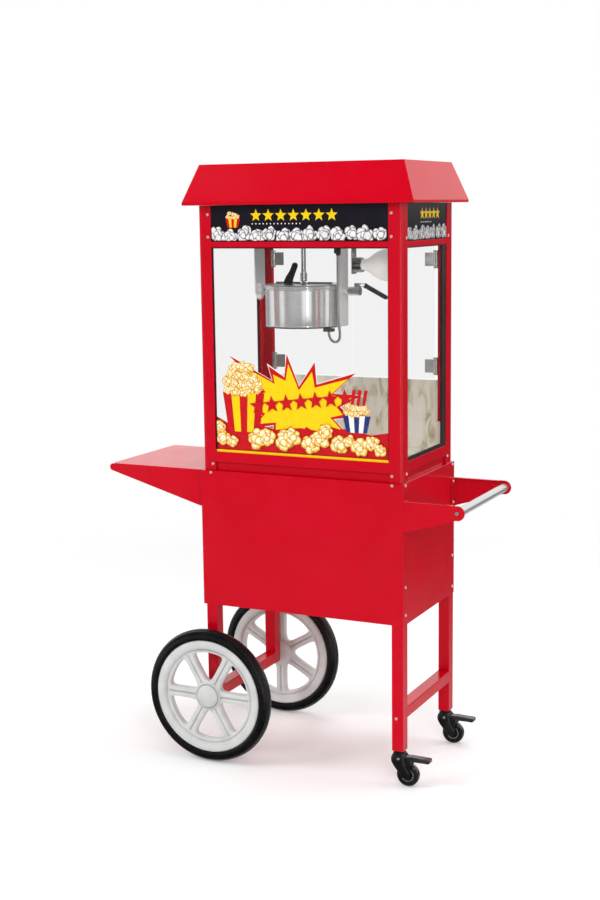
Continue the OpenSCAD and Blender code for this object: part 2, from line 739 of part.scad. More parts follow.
// Folded tray that stands out at the left
module side_shelf() {
    t = 1.5;
    nose_r = 9.5;
    x0 = -cart_x;
    x1 = -cart_x - shelf_reach + 8;
    hy = 161;
    r = 14;
    top = cart_top_z - 3;
    color(red) at_cab() {
        difference() {
            union() {
                translate([0, 0, top - 18]) linear_extrude(18) union() {
                    translate([x1 + r, -hy]) square([x0 - x1 - r, 2 * hy]);
                    translate([x1, -hy + r]) square([x0 - x1, 2 * hy - 2 * r]);
                    for (y = [-1, 1]) translate([x1 + r, y * (hy - r)]) circle(r = r, $fn = 48);
                }
                // gussets with a rounded nose and foot
                mirror_y() translate([0, -hy + t, 0]) rotate([90, 0, 0]) linear_extrude(t) hull() {
                    translate([x1 - 8 + nose_r, top - 1 - nose_r]) circle(r = nose_r, $fn = 48);
                    translate([x0 - 13, top - 83]) circle(r = 12, $fn = 48);
                    translate([x0 - 10, top - 95]) square([10, 93]);
                }
            }
            translate([0, 0, top - 19]) linear_extrude(19 - t) union() {
                translate([x1 + r, -hy + t]) square([x0 - x1 - r + 1, 2 * hy - 2 * t]);
                translate([x1 + t, -hy + r]) square([x0 - x1, 2 * hy - 2 * r]);
                for (y = [-1, 1]) translate([x1 + r, y * (hy - r)]) circle(r = r - t, $fn = 48);
            }
        }
        span([x0 - t - 0.2, -hy + t / 2, top - 95], [x0 - 0.2, hy - t / 2, top - t / 2]);
    }
}
// Two flat arms with folded edges that carry the push bar
module handle_arms() {
    z_top = cart_top_z - 42;
    z_end = cart_top_z - 60;
    color(red) at_cab() mirror_y() difference() {
        union() {
            translate([0, -cart_y + arm_t, 0]) rotate([90, 0, 0]) linear_extrude(arm_t) union() {
                polygon([[cart_x + gap, z_top - 76], [cart_x + gap, z_top], [bar_x - 2, z_end + bar_end_r],
                         [bar_x - 4, z_end - bar_end_r + 0.4]]);
                translate([bar_x, z_end]) circle(r = bar_end_r, $fn = 48);
            }
            span([cart_x + gap, -cart_y, z_top - 76], [cart_x + gap + arm_t, -cart_y + 26, z_top]);
            span([cart_x + gap, -cart_y, z_top - 2], [bar_x - 12, -cart_y + 9, z_top]);
        }
        rod_y([bar_x, -cart_y - 1, z_end], 4, 10);
    }
}
module handle_tube() {
    z_end = cart_top_z - 60;
    inner = cart_y - arm_t - 0.05;
    color(steel) at_cab() difference() {
        union() {
            rod_y([bar_x, -inner, z_end], 11, 2 * inner);
            mirror_y() rod_y([bar_x, -cart_y - 4, z_end], 4.8, 4);
            mirror_y() rod_y([bar_x, -cart_y - 1, z_end], 3.9, 12);
        }
        rod_y([bar_x, -inner + 25, z_end], 9.5, 2 * inner - 50);
    }
}
module leg(x0, z0, z1) {
    difference() {
        span([x0, leg_y, z0], [x0 + leg_s, leg_y + leg_s, z1]);
        span([x0 + leg_t, leg_y + leg_t, z0 - 1], [x0 + leg_s - leg_t, leg_y + leg_s - leg_t, z1 + 1]);
    }
}
module left_legs() {
    color(red) at_cab() mirror_y() difference() {
        leg(leg_l_x, leg_l_low, cart_top_z - 1.8);
        rod_y([axle_x, leg_y - 5, tyre_r], axle_r + 0.1, leg_s + 10);
    }
}
module right_legs() {
    color(red) at_cab() mirror_y() leg(leg_r_x, leg_r_low, cart_top_z - 1.8);
}
module side_braces() {
    y1 = leg_y - 0.1;
    groove = 1;
    color(red) at_cab() {
        for (b = [[leg_l_x, leg_l_low + 1], [leg_r_x, 171]]) difference() {
            span([b[0], -y1, b[1]], [b[0] + leg_s, y1, b[1] + leg_s]);
            span([b[0] + leg_t, -y1 - 1, b[1] + leg_t],
                 [b[0] + leg_s - leg_t, y1 + 1, b[1] + leg_s - leg_t]);
            // pressed groove under the outer top edge
            span([b[0] + leg_s - groove, -y1 - 1, b[1] + leg_s - 4.5],
                 [b[0] + leg_s + 1, y1 + 1, b[1] + leg_s - 2]);
        }
    }
}

// ---------- wheels ----------

module axle() {
    l = wheel_y - 1;
    color(steel) at_cab() rod_y([axle_x, -l, tyre_r], axle_r, 2 * l);
}
// A spoked wheel standing on its axle's height, outer face at -Y; turn sets the spokes
module wheel(turn) {
    in = rim_r - 24;
    hub_r = 30;
    translate([axle_x, -wheel_y, tyre_r]) rotate([-90, 0, 0]) difference() {
        union() {
            difference() {
                cylinder(r = rim_r, h = wheel_w, $fn = 96);
                translate([0, 0, -1]) cylinder(r = in + 4, h = wheel_w + 2, $fn = 96);
            }
            translate([0, 0, 5]) difference() {
                cylinder(r = in + 6, h = wheel_w - 10, $fn = 96);
                translate([0, 0, -1]) cylinder(r = in - 12, h = wheel_w, $fn = 96);
            }
            translate([0, 0, 6]) for (a = [0:60:300]) rotate(a + turn)
                translate([hub_r - 6, -13, 0]) cube([in - hub_r, 26, wheel_w - 12]);
            translate([0, 0, 2]) cylinder(r = hub_r + 4, h = wheel_w + 4, $fn = 48);
            rotate_extrude($fn = 48)
                polygon([[0, -6], [14, -5.2], [24, -2.6], [hub_r, 1], [hub_r, 4], [0, 4]]);
        }
        translate([0, 0, 0.5]) cylinder(r = axle_r + 0.06, h = wheel_w + 10, $fn = 48);
        for (a = [0:60:300]) rotate(a + turn) {
            translate([hub_r + 6, -1.5, 4]) cube([in - hub_r - 14, 3, 4]);
        }
    }
}
// A tyre with a crowned tread
module tyre() {
    translate([axle_x, -wheel_y, tyre_r]) rotate([-90, 0, 0]) rotate_extrude($fn = 96)
        polygon([[rim_r + 0.02, 1], [rim_r + 10, 0], [tyre_r - 8, 3], [tyre_r - 2.5, 9], [tyre_r, 14],
            [tyre_r, wheel_w - 14], [tyre_r - 2.5, wheel_w - 9], [tyre_r - 8, wheel_w - 3],
            [rim_r + 10, wheel_w], [rim_r + 0.02, wheel_w - 1]]);
}
module wheel_front() { color([0.82, 0.82, 0.82]) at_cab() wheel(0); }
module tyre_front() { color(black) at_cab() tyre(); }
module wheel_rear() { color([0.82, 0.82, 0.82]) at_cab() mirror([0, 1, 0]) wheel(30); }
module tyre_rear() { color(black) at_cab() mirror([0, 1, 0]) tyre(); }

// ---------- castors ----------

// Plug in the leg, collar and swivel pin
module castor_stems() {
    color(black) at_cab() mirror_y() translate([castor_x, castor_y, 0]) {
        plug = leg_s / 2 - leg_t - 0.1;
        span([-plug, -plug, leg_r_low], [plug, plug, leg_r_low + 22]);
        rod_z([0, 0, leg_r_low - 4], 14, 3.9);
        rod_z([0, 0, 66], 5, leg_r_low - 63);
    }
}
// Housing that swivels on the stem and holds the wheel; s is 1 at the rear, -1 at the front
module castor_fork(s) {
    top = leg_r_low - 4.5;
    crown_z = 74;
    w = 13;
    wall = 2.5;
    translate([castor_x, s * castor_y, 0]) {
        rod_y([castor_trail, -w - 2, castor_r], 3, 2 * w + 4);
        rod_y([pedal_pivot[0] - castor_x, -w - 1, pedal_pivot[1]], 2, 2 * w + 2);
        difference() {
            union() {
                rod_z([0, 0, crown_z], 16, top - crown_z);
                for (y = [-w, w - wall])
                    translate([0, y + wall, 0]) rotate([90, 0, 0]) linear_extrude(wall) union() {
                        polygon([[-17, 70], [-17, 62], [9, 22], [castor_trail + 8, 22],
                            [castor_trail + 10, 62], [12, top - 3], [-12, top - 3]]);
                        translate([castor_trail, castor_r]) circle(r = 10, $fn = 32);
                    }
                span([-14, -w, 62], [6.5, w, crown_z + 2]);
            }
            rod_z([0, 0, 60], 5.06, 30);
            // room for the pedal between the side plates
            span([6.8, -w + wall + 0.1, 50], [40, w - wall - 0.1, 78.2]);
        }
    }
}
module castor_wheel(s) {
    translate([castor_x + castor_trail, s * castor_y, castor_r]) rotate([-90, 0, 0]) difference() {
        rotate_extrude($fn = 64) polygon([[0, -9.5], [8, -9.5], [8, -7], [20, -7], [21, -9.5],
            [26, -9.5], [castor_r, -6], [castor_r, 6], [26, 9.5], [21, 9.5], [20, 7], [8, 7],
            [8, 9.5], [0, 9.5]]);
        translate([0, 0, -15]) cylinder(r = 3.06, h = 30, $fn = 32);
    }
}
// Foot pedal of the brake
module castor_pedal(s) {
    translate([pedal_pivot[0], s * castor_y, pedal_pivot[1]]) difference() {
        union() {
            rod_y([0, -9.8, 0], 5, 19.6);
            rotate([90, 0, 0]) translate([0, 0, -9.8]) linear_extrude(19.6)
                polygon([[0, -4], [8, -6], [20, -6], [70, -3], [70, 5], [22, 7], [0, 4.5]]);
            span([24, -12, -4], [68, 12, 5]);
        }
        rod_y([0, -15, 0], 2.06, 30);
        span([-10, -20, -20], [-5.2, 20, 20]);
    }
}
module castor_front_fork() { color(black) at_cab() castor_fork(-1); }
module castor_rear_fork() { color(black) at_cab() castor_fork(1); }
module castor_front_wheel() { color(black) at_cab() castor_wheel(-1); }
module castor_rear_wheel() { color(black) at_cab() castor_wheel(1); }
module castor_front_pedal() { color(black) at_cab() castor_pedal(-1); }
module castor_rear_pedal() { color(black) at_cab() castor_pedal(1); }

// ---------- fasteners ----------

// Pan head screw with a cross recess, standing out along -Y
module screw_head() {
    rotate([90, 0, 0]) difference() {
        rotate_extrude($fn = 24) polygon([[0, 0], [3.6, 0], [3.4, 1.2], [2.2, 2], [0, 2.2]]);
        for (a = [0, 90]) rotate(a) translate([-2, -0.4, 1.2]) cube([4, 0.8, 2]);
    }
}
module screws() {
    post_x = half_w - 26;
    post_y = half_d - 30;
    color(steel) at_cab() {
        // posts, front and rear
        for (z = [eaves_z - 23, header_z + 25, sill_z - 32]) mirror_x() mirror_y()
            translate([post_x, -half_d, z]) screw_head();
        // posts, sides
        for (z = [header_z + 21, sill_z - 29.5]) mirror_x() mirror_y()
            translate([half_w, post_y, z]) rotate(90) screw_head();
        // cart corners
        mirror_x() translate([post_x + 3, -cart_y, cart_top_z - 4.6]) screw_head();
        for (z = [cart_top_z - 4.6, 506, 436]) mirror_x()
            translate([cart_x, -cart_y + 14.5, z]) rotate(90) screw_head();
        for (z = [cart_top_z - 6, 514, 430]) mirror_x()
            translate([cart_x - side_in, cart_y - 13, z]) rotate(90) screw_head();
        // legs
        mirror_y() translate([castor_x - 3, -leg_y - leg_s, 174]) screw_head();
        // handle arm flanges
        for (z = [cart_top_z - 50, cart_top_z - 105]) mirror_y()
            translate([cart_x + gap + arm_t, -cart_y + 16, z]) rotate(90) screw_head();
    }
}

roof();
corner_posts();
sign_panels();
header_rails();
control_panel();
ceiling_plate();
base_rails();
popcorn_deck();
crumb_drawer();
rear_lower_panel();
front_glass();
side_glass();
window_gaskets();
door_left_glass();
door_right_glass();
door_left_fittings();
door_right_fittings();
door_hinge_leaves();
motor();
drive_shaft();
kettle_pot();
kettle_heater();
kettle_cover();
kettle_flap();
flap_lever();
stirrer();
hanger_left();
hanger_right();
tilt_arm();
tilt_grip();
kettle_lead();
lead_plug();
lamp_bracket();
lamp_bulb();
heat_switch();
motor_switch();
lamp_switch();
power_inlet();
cart_front_panel();
cart_side_panels();
cart_shelves();
side_shelf();
handle_arms();
handle_tube();
left_legs();
right_legs();
side_braces();
axle();
wheel_front();
tyre_front();
wheel_rear();
tyre_rear();
castor_stems();
castor_front_fork();
castor_rear_fork();
castor_front_wheel();
castor_rear_wheel();
castor_front_pedal();
castor_rear_pedal();
screws();
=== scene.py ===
"""The looks of the popcorn maker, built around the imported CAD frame. Metres, +Z up, front at -Y."""

import json
import math
import random

import bmesh
import bpy
from mathutils import Matrix, Vector

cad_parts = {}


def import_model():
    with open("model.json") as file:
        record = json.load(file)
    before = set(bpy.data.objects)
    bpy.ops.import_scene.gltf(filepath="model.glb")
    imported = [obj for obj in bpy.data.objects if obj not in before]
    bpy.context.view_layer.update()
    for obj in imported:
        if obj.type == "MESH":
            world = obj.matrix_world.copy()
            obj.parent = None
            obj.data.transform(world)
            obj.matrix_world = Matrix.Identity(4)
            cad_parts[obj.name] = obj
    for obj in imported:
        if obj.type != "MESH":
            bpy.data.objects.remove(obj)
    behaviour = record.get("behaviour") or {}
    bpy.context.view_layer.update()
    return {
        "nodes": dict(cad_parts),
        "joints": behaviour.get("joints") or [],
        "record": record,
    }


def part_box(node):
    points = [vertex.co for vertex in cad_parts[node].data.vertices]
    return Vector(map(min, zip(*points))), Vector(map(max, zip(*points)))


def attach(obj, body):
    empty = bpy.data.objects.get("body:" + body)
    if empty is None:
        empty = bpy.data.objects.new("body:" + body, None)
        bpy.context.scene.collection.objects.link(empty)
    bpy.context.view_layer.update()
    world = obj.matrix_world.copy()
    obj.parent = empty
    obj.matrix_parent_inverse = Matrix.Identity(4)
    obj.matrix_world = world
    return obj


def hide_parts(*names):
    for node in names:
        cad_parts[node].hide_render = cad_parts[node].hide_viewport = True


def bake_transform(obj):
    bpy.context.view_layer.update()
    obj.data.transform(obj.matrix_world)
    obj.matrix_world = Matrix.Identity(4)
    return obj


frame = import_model()

MM = 0.001
record = frame["record"]
BODY_OF = {n: b for b, members in record["behaviour"]["bodies"].items() for n in members}
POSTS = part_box("corner_posts")
MID_X = (POSTS[0].x + POSTS[1].x) / 2          # middle of the cabinet
X_AXIS, Y_AXIS, Z_AXIS = Vector((1, 0, 0)), Vector((0, 1, 0)), Vector((0, 0, 1))


def at(x, y, z):
    """A point given in millimetres from the middle of the cabinet, at floor level."""
    return Vector((MID_X + x * MM, y * MM, z * MM))


def middle(node):
    low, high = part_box(node)
    return (low + high) / 2


def pivot_of(name):
    """Where a joint's axis stands."""
    return Vector(next(j["pos_m"] for j in frame["joints"] if j["name"] == name))


# ---------- materials ----------

class Graph:
    """A node tree whose nodes are added one by one."""

    def __init__(self, tree):
        self.nodes, self.links = tree.nodes, tree.links

    def math(self, operation, a, b):
        """A sum or product of two things, each a number or another node's output."""
        node = self.nodes.new("ShaderNodeMath")
        node.operation = operation
        for socket, value in zip(node.inputs, (a, b)):
            if isinstance(value, (int, float)):
                socket.default_value = value
            else:
                self.links.new(value, socket)
        return node.outputs[0]

    def ranged(self, factor, low, high, to_low=0.0, to_high=1.0):
        """The factor's span from low to high, stretched over to_low to to_high."""
        node = self.nodes.new("ShaderNodeMapRange")
        for name, value in (("From Min", low), ("From Max", high), ("To Min", to_low), ("To Max", to_high)):
            node.inputs[name].default_value = value
        self.links.new(factor, node.inputs["Value"])
        return node.outputs["Result"]

    def ramp(self, factor, stops):
        """A colour from (place, (r, g, b)) stops along a factor."""
        node = self.nodes.new("ShaderNodeValToRGB")
        elements = node.color_ramp.elements
        while len(elements) < len(stops):
            elements.new(0.5)
        for element, (place, colour) in zip(elements, stops):
            element.position = place
            element.color = (*colour, 1)
        self.links.new(factor, node.inputs["Fac"])
        return node.outputs["Color"]


class Look(Graph):
    """A Principled material."""

    def __init__(self, name, metallic=0.0, coat=0.0, coat_rough=0.05):
        self.material = bpy.data.materials.new(name)
        self.material.use_nodes = True
        super().__init__(self.material.node_tree)
        self.shader = self.nodes["Principled BSDF"]
        for socket, value in (("Metallic", metallic), ("Coat Weight", coat),
                              ("Coat Roughness", coat_rough)):
            self.shader.inputs[socket].default_value = value
        self.coords = self.nodes.new("ShaderNodeTexCoord").outputs["Object"]

    def noise(self, scale, stretch=(1, 1, 1), detail=4.0, distortion=0.0):
        mapping = self.nodes.new("ShaderNodeMapping")
        mapping.inputs["Scale"].default_value = stretch
        self.links.new(self.coords, mapping.inputs["Vector"])
        texture = self.nodes.new("ShaderNodeTexNoise")
        for socket, value in (("Scale", scale), ("Detail", detail), ("Distortion", distortion)):
            texture.inputs[socket].default_value = value
        self.links.new(mapping.outputs["Vector"], texture.inputs["Vector"])
        return texture.outputs["Fac"]

    def attribute(self, name):
        node = self.nodes.new("ShaderNodeAttribute")
        node.attribute_name = name
        return node.outputs["Fac"]

    def colours(self, factor, stops):
        """Base colour from (place, (r, g, b)) stops along a factor."""
        self.links.new(self.ramp(factor, stops), self.shader.inputs["Base Color"])
        return self

    def roughness(self, factor, low, high):
        """Roughness between low and high; noise seldom leaves 0.3 to 0.7."""
        self.links.new(self.ranged(factor, 0.3, 0.7, low, high), self.shader.inputs["Roughness"])
        return self

    def bump(self, factor, strength, depth):
        node = self.nodes.new("ShaderNodeBump")
        node.inputs["Strength"].default_value = strength
        node.inputs["Distance"].default_value = depth
        self.links.new(factor, node.inputs["Height"])
        self.links.new(node.outputs["Normal"], self.shader.inputs["Normal"])
        return self


def red_paint():
    """Glossy powder coat with a faint orange peel."""
    look = Look("red_powder_coat")
    look.colours(look.noise(5, detail=2), [(0.3, (0.56, 0.0, 0.010)), (0.7, (0.61, 0.0, 0.014))])
    look.roughness(look.noise(18), 0.13, 0.20)
    return look.bump(look.noise(650, detail=2), 0.03, 0.0003).material


def brushed(name, stretch, tone=0.74, rough=(0.24, 0.36), metallic=0.85):
    """Brushed stainless; stretch is small along the grain."""
    look = Look(name, metallic=metallic)
    grain = look.noise(480, stretch, detail=3)
    dim = tone * 0.93
    look.colours(grain, [(0.3, (dim, dim, dim)), (0.7, (tone, tone, tone * 0.99))])
    look.roughness(grain, *rough)
    return look.bump(grain, 0.05, 0.0002).material


def mottled_steel():
    """Thin rear sheet whose streaky olive and beige mottling in its colour is painted reflection of the
    studio around it.
    """
    look = Look("rear_sheet_steel_painted_reflections", metallic=0.05)
    # Painted reflection: stretched noise from dark olive to pale beige stands for the studio mirrored in
    # the sheet.
    painted_reflection_streaks = look.noise(14, (2.4, 1.2, 1.0), detail=9, distortion=0.8)
    look.colours(painted_reflection_streaks, [(0.28, (0.36, 0.33, 0.20)), (0.40, (0.70, 0.67, 0.50)),
                          (0.48, (0.90, 0.88, 0.76)), (0.70, (0.96, 0.95, 0.89))])
    look.roughness(look.noise(30, (1, 1, 5)), 0.32, 0.5)
    return look.bump(look.noise(7, detail=3), 0.25, 0.002).material


def polished(name, tone, rough, metallic=1.0):
    """Polished metal, lightly wiped around."""
    look = Look(name, metallic=metallic)
    wear = look.noise(45, (1, 1, 6), detail=6)
    dim = tone * 0.93
    look.colours(wear, [(0.35, (dim, dim, tone * 0.92)), (0.65, (tone, tone, tone))])
    look.roughness(wear, *rough)
    return look.bump(look.noise(260, (1, 1, 9)), 0.03, 0.0002).material


def plastic(name, dark, light, rough, grain=900, bump=0.08, coat=0.0):
    """Moulded plastic with a fine grain."""
    look = Look(name, coat=coat)
    look.colours(look.noise(22), [(0.35, dark), (0.65, light)])
    look.roughness(look.noise(60), *rough)
    return look.bump(look.noise(grain, detail=3), bump, 0.0004).material


def clear_glass():
    """Thin clean panes that show little but a faint green and a faint reflection."""
    look = Look("clear_pane")
    look.colours(look.noise(6), [(0.3, (0.10, 0.15, 0.14)), (0.7, (0.13, 0.18, 0.17))])
    look.shader.inputs["Alpha"].default_value = 0.035
    return look.roughness(look.noise(25, detail=6), 0.02, 0.05).material


def frosted_glass():
    """The bulb's white glass, faintly lit."""
    look = Look("frosted_bulb", coat=0.5, coat_rough=0.1)
    look.colours(look.noise(14, detail=2), [(0.3, (0.60, 0.59, 0.56)), (0.7, (0.74, 0.73, 0.70))])
    look.shader.inputs["Emission Color"].default_value = (1.0, 0.97, 0.92, 1)
    look.shader.inputs["Emission Strength"].default_value = 0.3
    return look.roughness(look.noise(40), 0.25, 0.4).material


def cast_metal():
    """Rough dark casting of the heater."""
    look = Look("cast_metal", metallic=0.8)
    look.colours(look.noise(70), [(0.3, (0.12, 0.12, 0.11)), (0.7, (0.26, 0.25, 0.24))])
    look.roughness(look.noise(90), 0.5, 0.7)
    return look.bump(look.noise(500), 0.4, 0.0006).material


def ink(name, dark, light, rough=(0.25, 0.35)):
    """Printed foil."""
    look = Look(name, coat=0.15)
    look.colours(look.noise(60, detail=2), [(0.3, dark), (0.7, light)])
    return look.roughness(look.noise(40), *rough).material


def printed_popcorn(name, crease_power, stops):
    """Printed popcorn: puffs shaded from their middle to their creases."""
    look = Look(name, coat=0.15)
    mottle = look.math("MULTIPLY", look.noise(110, detail=6, distortion=1.2), 0.75)
    crease = look.math("MULTIPLY", look.math("POWER", look.attribute("shade"), crease_power), 0.6)
    look.colours(look.math("ADD", mottle, crease), stops)
    return look.roughness(look.noise(60), 0.25, 0.35).material


RED = red_paint()
STEEL_Z = brushed("brushed_steel_upright", (5, 5, 0.1), tone=0.96, metallic=0.15)
STEEL_X = brushed("brushed_steel_across", (0.1, 5, 5))
STEEL_Y = brushed("satin_tube", (5, 0.1, 5), tone=0.78, rough=(0.26, 0.38))
ZINC = brushed("zinc_plate", (1, 1, 1), tone=0.86, rough=(0.3, 0.42), metallic=0.55)
SHEET = mottled_steel()
CHROME = polished("chrome_plate", tone=0.84, rough=(0.10, 0.18), metallic=0.85)
KETTLE = polished("polished_kettle", tone=0.94, rough=(0.07, 0.13), metallic=0.65)
BLACK = plastic("black_moulding", (0.010, 0.010, 0.010), (0.022, 0.022, 0.022), (0.25, 0.4))
GLOSS_BLACK = plastic("castor_black", (0.006, 0.006, 0.006), (0.014, 0.014, 0.015), (0.16, 0.28), coat=0.4)
PEDAL = plastic("pedal_black", (0.016, 0.016, 0.017), (0.034, 0.034, 0.036), (0.2, 0.3), coat=0.3)
BAKELITE = plastic("bakelite", (0.010, 0.009, 0.009), (0.024, 0.021, 0.020), (0.28, 0.4), grain=400)
SIGN = plastic("sign_acrylic", (0.008, 0.007, 0.012), (0.012, 0.010, 0.017), (0.08, 0.14),
               bump=0.01, coat=0.3)
RUBBER = plastic("seal_rubber", (0.008, 0.008, 0.009), (0.018, 0.018, 0.019), (0.35, 0.5),
                 grain=700, bump=0.15)
TYRE = plastic("tyre_rubber", (0.003, 0.003, 0.003), (0.008, 0.008, 0.008), (0.22, 0.32),
               grain=800, bump=0.05)
WHEEL = plastic("wheel_plastic", (0.58, 0.59, 0.58), (0.66, 0.67, 0.66), (0.34, 0.46), grain=500, bump=0.05)
MOTOR = plastic("motor_enamel", (0.045, 0.045, 0.047), (0.075, 0.075, 0.078), (0.4, 0.55))
PANE = clear_glass()
FROSTED = frosted_glass()
CAST = cast_metal()
YELLOW = ink("yellow_ink", (0.92, 0.62, 0.0), (1.0, 0.70, 0.0))
RED_INK = ink("red_ink", (0.56, 0.0, 0.008), (0.66, 0.004, 0.010))
WHITE_INK = ink("white_ink", (0.85, 0.84, 0.80), (0.95, 0.94, 0.90))
BLUE_INK = ink("blue_ink", (0.02, 0.03, 0.16), (0.03, 0.05, 0.22))
BUTTERED = printed_popcorn("buttered_popcorn", 2.2, [
    (0.34, (1.0, 0.95, 0.80)), (0.50, (1.0, 0.88, 0.55)),
    (0.66, (0.98, 0.68, 0.14)), (0.92, (0.62, 0.22, 0.01))])
WHITE_CORN = printed_popcorn("white_popcorn", 3.6, [
    (0.42, (0.90, 0.89, 0.89)), (0.60, (0.66, 0.64, 0.65)),
    (0.74, (0.20, 0.18, 0.19)), (0.90, (0.01, 0.008, 0.012))])
# The white popcorn print darkened for the side signs: painted shade.
SIDE_CORN_PAINTED_SHADE = printed_popcorn("side_popcorn_painted_shade", 3.6, [
    (0.42, (0.74, 0.72, 0.73)), (0.60, (0.50, 0.48, 0.49)),
    (0.74, (0.15, 0.14, 0.15)), (0.90, (0.01, 0.008, 0.012))])


# ---------- building ----------

def new_piece(name, bm, material, smooth_angle=35):
    """An object from a bmesh, smooth but for edges sharper than smooth_angle."""
    bmesh.ops.remove_doubles(bm, verts=bm.verts, dist=1e-6)
    bmesh.ops.recalc_face_normals(bm, faces=bm.faces)
    mesh = bpy.data.meshes.new(name)
    bm.to_mesh(mesh)
    bm.free()
    piece = bpy.data.objects.new(name, mesh)
    bpy.context.scene.collection.objects.link(piece)
    soften(piece, smooth_angle)
    mesh.materials.append(material)
    return piece


def soften(piece, angle=35):
    piece.data.shade_smooth()
    piece.data.set_sharp_from_angle(angle=math.radians(angle))


def apply_modifiers(piece):
    depsgraph = bpy.context.evaluated_depsgraph_get()
    mesh = bpy.data.meshes.new_from_object(piece.evaluated_get(depsgraph))
    piece.modifiers.clear()
    piece.data = mesh


def round_edges(piece, width, segments=2, angle=30):
    bevel = piece.modifiers.new("rounding", "BEVEL")
    bevel.width = width
    bevel.segments = segments
    bevel.limit_method = "ANGLE"
    bevel.angle_limit = math.radians(angle)
    bevel.harden_normals = True
    apply_modifiers(piece)
    return piece


def stand_for(piece, *nodes):
    """piece takes the place and body of these CAD nodes, which it hides."""
    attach(piece, BODY_OF[nodes[0]])
    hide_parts(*nodes)
    return piece


def add_to(piece, node):
    """piece is a detail on a CAD node: the same body."""
    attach(piece, BODY_OF[node])
    return piece


def edged(node, material, width=0.5, segments=2):
    """A copy of a CAD node with its edges and folds rounded, which stands for it. width is in mm."""
    bm = bmesh.new()
    bm.from_mesh(frame["nodes"][node].data)
    bmesh.ops.remove_doubles(bm, verts=bm.verts, dist=1e-5)
    bmesh.ops.dissolve_limit(bm, angle_limit=math.radians(0.6), verts=bm.verts, edges=bm.edges)
    piece = new_piece(node + "_shown", bm, material)
    for name in ("custom_normal", "sharp_edge"):
        if name in piece.data.attributes:
            piece.data.attributes.remove(piece.data.attributes[name])
    soften(piece, 35)
    return stand_for(round_edges(piece, width * MM, segments), node)


def repaint(node, material):
    """A CAD node whose shape is right keeps it and gets its material."""
    mesh = frame["nodes"][node].data
    mesh.materials.clear()
    mesh.materials.append(material)


def lathe(bm, profile, centre, axis, turns=96):
    """Turns (radius, height) points in mm about an axis. A closed outline repeats its first point."""
    axis = axis.normalized()
    side = axis.orthogonal().normalized()
    across = axis.cross(side)
    rings = []
    for radius, height in profile:
        base = centre + axis * height * MM
        if radius < 1e-6:
            rings.append([bm.verts.new(base)])
            continue
        rings.append([bm.verts.new(base + (side * math.cos(a) + across * math.sin(a)) * radius * MM)
                      for a in (math.tau * k / turns for k in range(turns))])
    for low, high in zip(rings, rings[1:]):
        for k in range(turns):
            m = (k + 1) % turns
            corners = [low[k % len(low)], low[m % len(low)], high[m % len(high)], high[k % len(high)]]
            unique = list(dict.fromkeys(corners))
            if len(unique) > 2:
                bm.faces.new(unique)


def arc(x, y, radius, start, end, count=6):
    """Points round a corner of a profile, angles in degrees."""
    angles = (math.radians(start + (end - start) * i / count) for i in range(count + 1))
    return [(x + radius * math.cos(a), y + radius * math.sin(a)) for a in angles]


def bridge(bm, low, high):
    """A band of quads between two loops of the same length."""
    for k in range(len(low)):
        m = (k + 1) % len(low)
        bm.faces.new((low[k], low[m], high[m], high[k]))


def slab(bm, outline, normal, depth):
    """A flat closed plate: its outline as points, thickened by depth against the normal."""
    front = [bm.verts.new(p) for p in outline]
    back = [bm.verts.new(p - normal * depth) for p in outline]
    bm.faces.new(front)
    bm.faces.new(back[::-1])
    bridge(bm, back, front)


def smooth_path(points, steps):
    """A Catmull-Rom curve through points."""
    path = []
    last = len(points) - 1
    for i in range(last):
        p = [points[max(i - 1, 0)], points[i], points[i + 1], points[min(i + 2, last)]]
        for s in range(steps):
            t = s / steps
            path.append(0.5 * ((2 * p[1]) + (p[2] - p[0]) * t
                               + (2 * p[0] - 5 * p[1] + 4 * p[2] - p[3]) * t * t
                               + (3 * p[1] - p[0] - 3 * p[2] + p[3]) * t ** 3))
    return path + [points[-1]]


def sweep(bm, path, radius_at, sides):
    """A closed tube along path; radius_at(ring, side) is in metres."""
    side = (path[1] - path[0]).normalized().orthogonal().normalized()
    rings = []
    for i, point in enumerate(path):
        ahead = (path[min(i + 1, len(path) - 1)] - path[max(i - 1, 0)]).normalized()
        side = (side - ahead * side.dot(ahead)).normalized()
        across = ahead.cross(side)
        rings.append([bm.verts.new(point + (side * math.cos(math.tau * k / sides)
                                            + across * math.sin(math.tau * k / sides)) * radius_at(i, k))
                      for k in range(sides)])
    for low, high in zip(rings, rings[1:]):
        bridge(bm, low, high)
    bm.faces.new(rings[0][::-1])
    bm.faces.new(rings[-1])


# ---------- camera, floor and light ----------

CAMERA_PLACE = (1.6362, -3.4110, 1.4216)
CAMERA_TURN = (25.849, 9.337, -0.735)          # yaw, pitch down and roll, in degrees
CAMERA_LENS = 58.948


def camera():
    """A three-quarter view from the front right, at about eye level."""
    yaw, pitch, roll = (math.radians(a) for a in CAMERA_TURN)
    ahead = Vector((-math.sin(yaw) * math.cos(pitch), math.cos(yaw) * math.cos(pitch),
                    -math.sin(pitch)))
    level = Vector((math.cos(yaw), math.sin(yaw), 0))
    upright = level.cross(ahead)
    right = level * math.cos(roll) + upright * math.sin(roll)
    up = upright * math.cos(roll) - level * math.sin(roll)
    data = bpy.data.cameras.new("camera")
    data.sensor_width = 36
    data.lens = CAMERA_LENS
    view = bpy.data.objects.new("camera", data)
    turn = Matrix((right, up, -ahead)).transposed().to_4x4()
    view.matrix_world = Matrix.Translation(CAMERA_PLACE) @ turn
    bpy.context.scene.collection.objects.link(view)
    bpy.context.scene.camera = view
    bpy.context.scene.view_settings.view_transform = "Standard"


def soft_light(name, place, aim, size, power, mirrored):
    """An area light; mirrored ones show in glossy surfaces."""
    data = bpy.data.lights.new(name, "AREA")
    data.shape = "RECTANGLE"
    data.size, data.size_y = size
    data.energy = power
    light = bpy.data.objects.new(name, data)
    light.location = place
    light.rotation_euler = (Vector(aim) - Vector(place)).to_track_quat("-Z", "Y").to_euler()
    light.visible_glossy = mirrored
    bpy.context.scene.collection.objects.link(light)


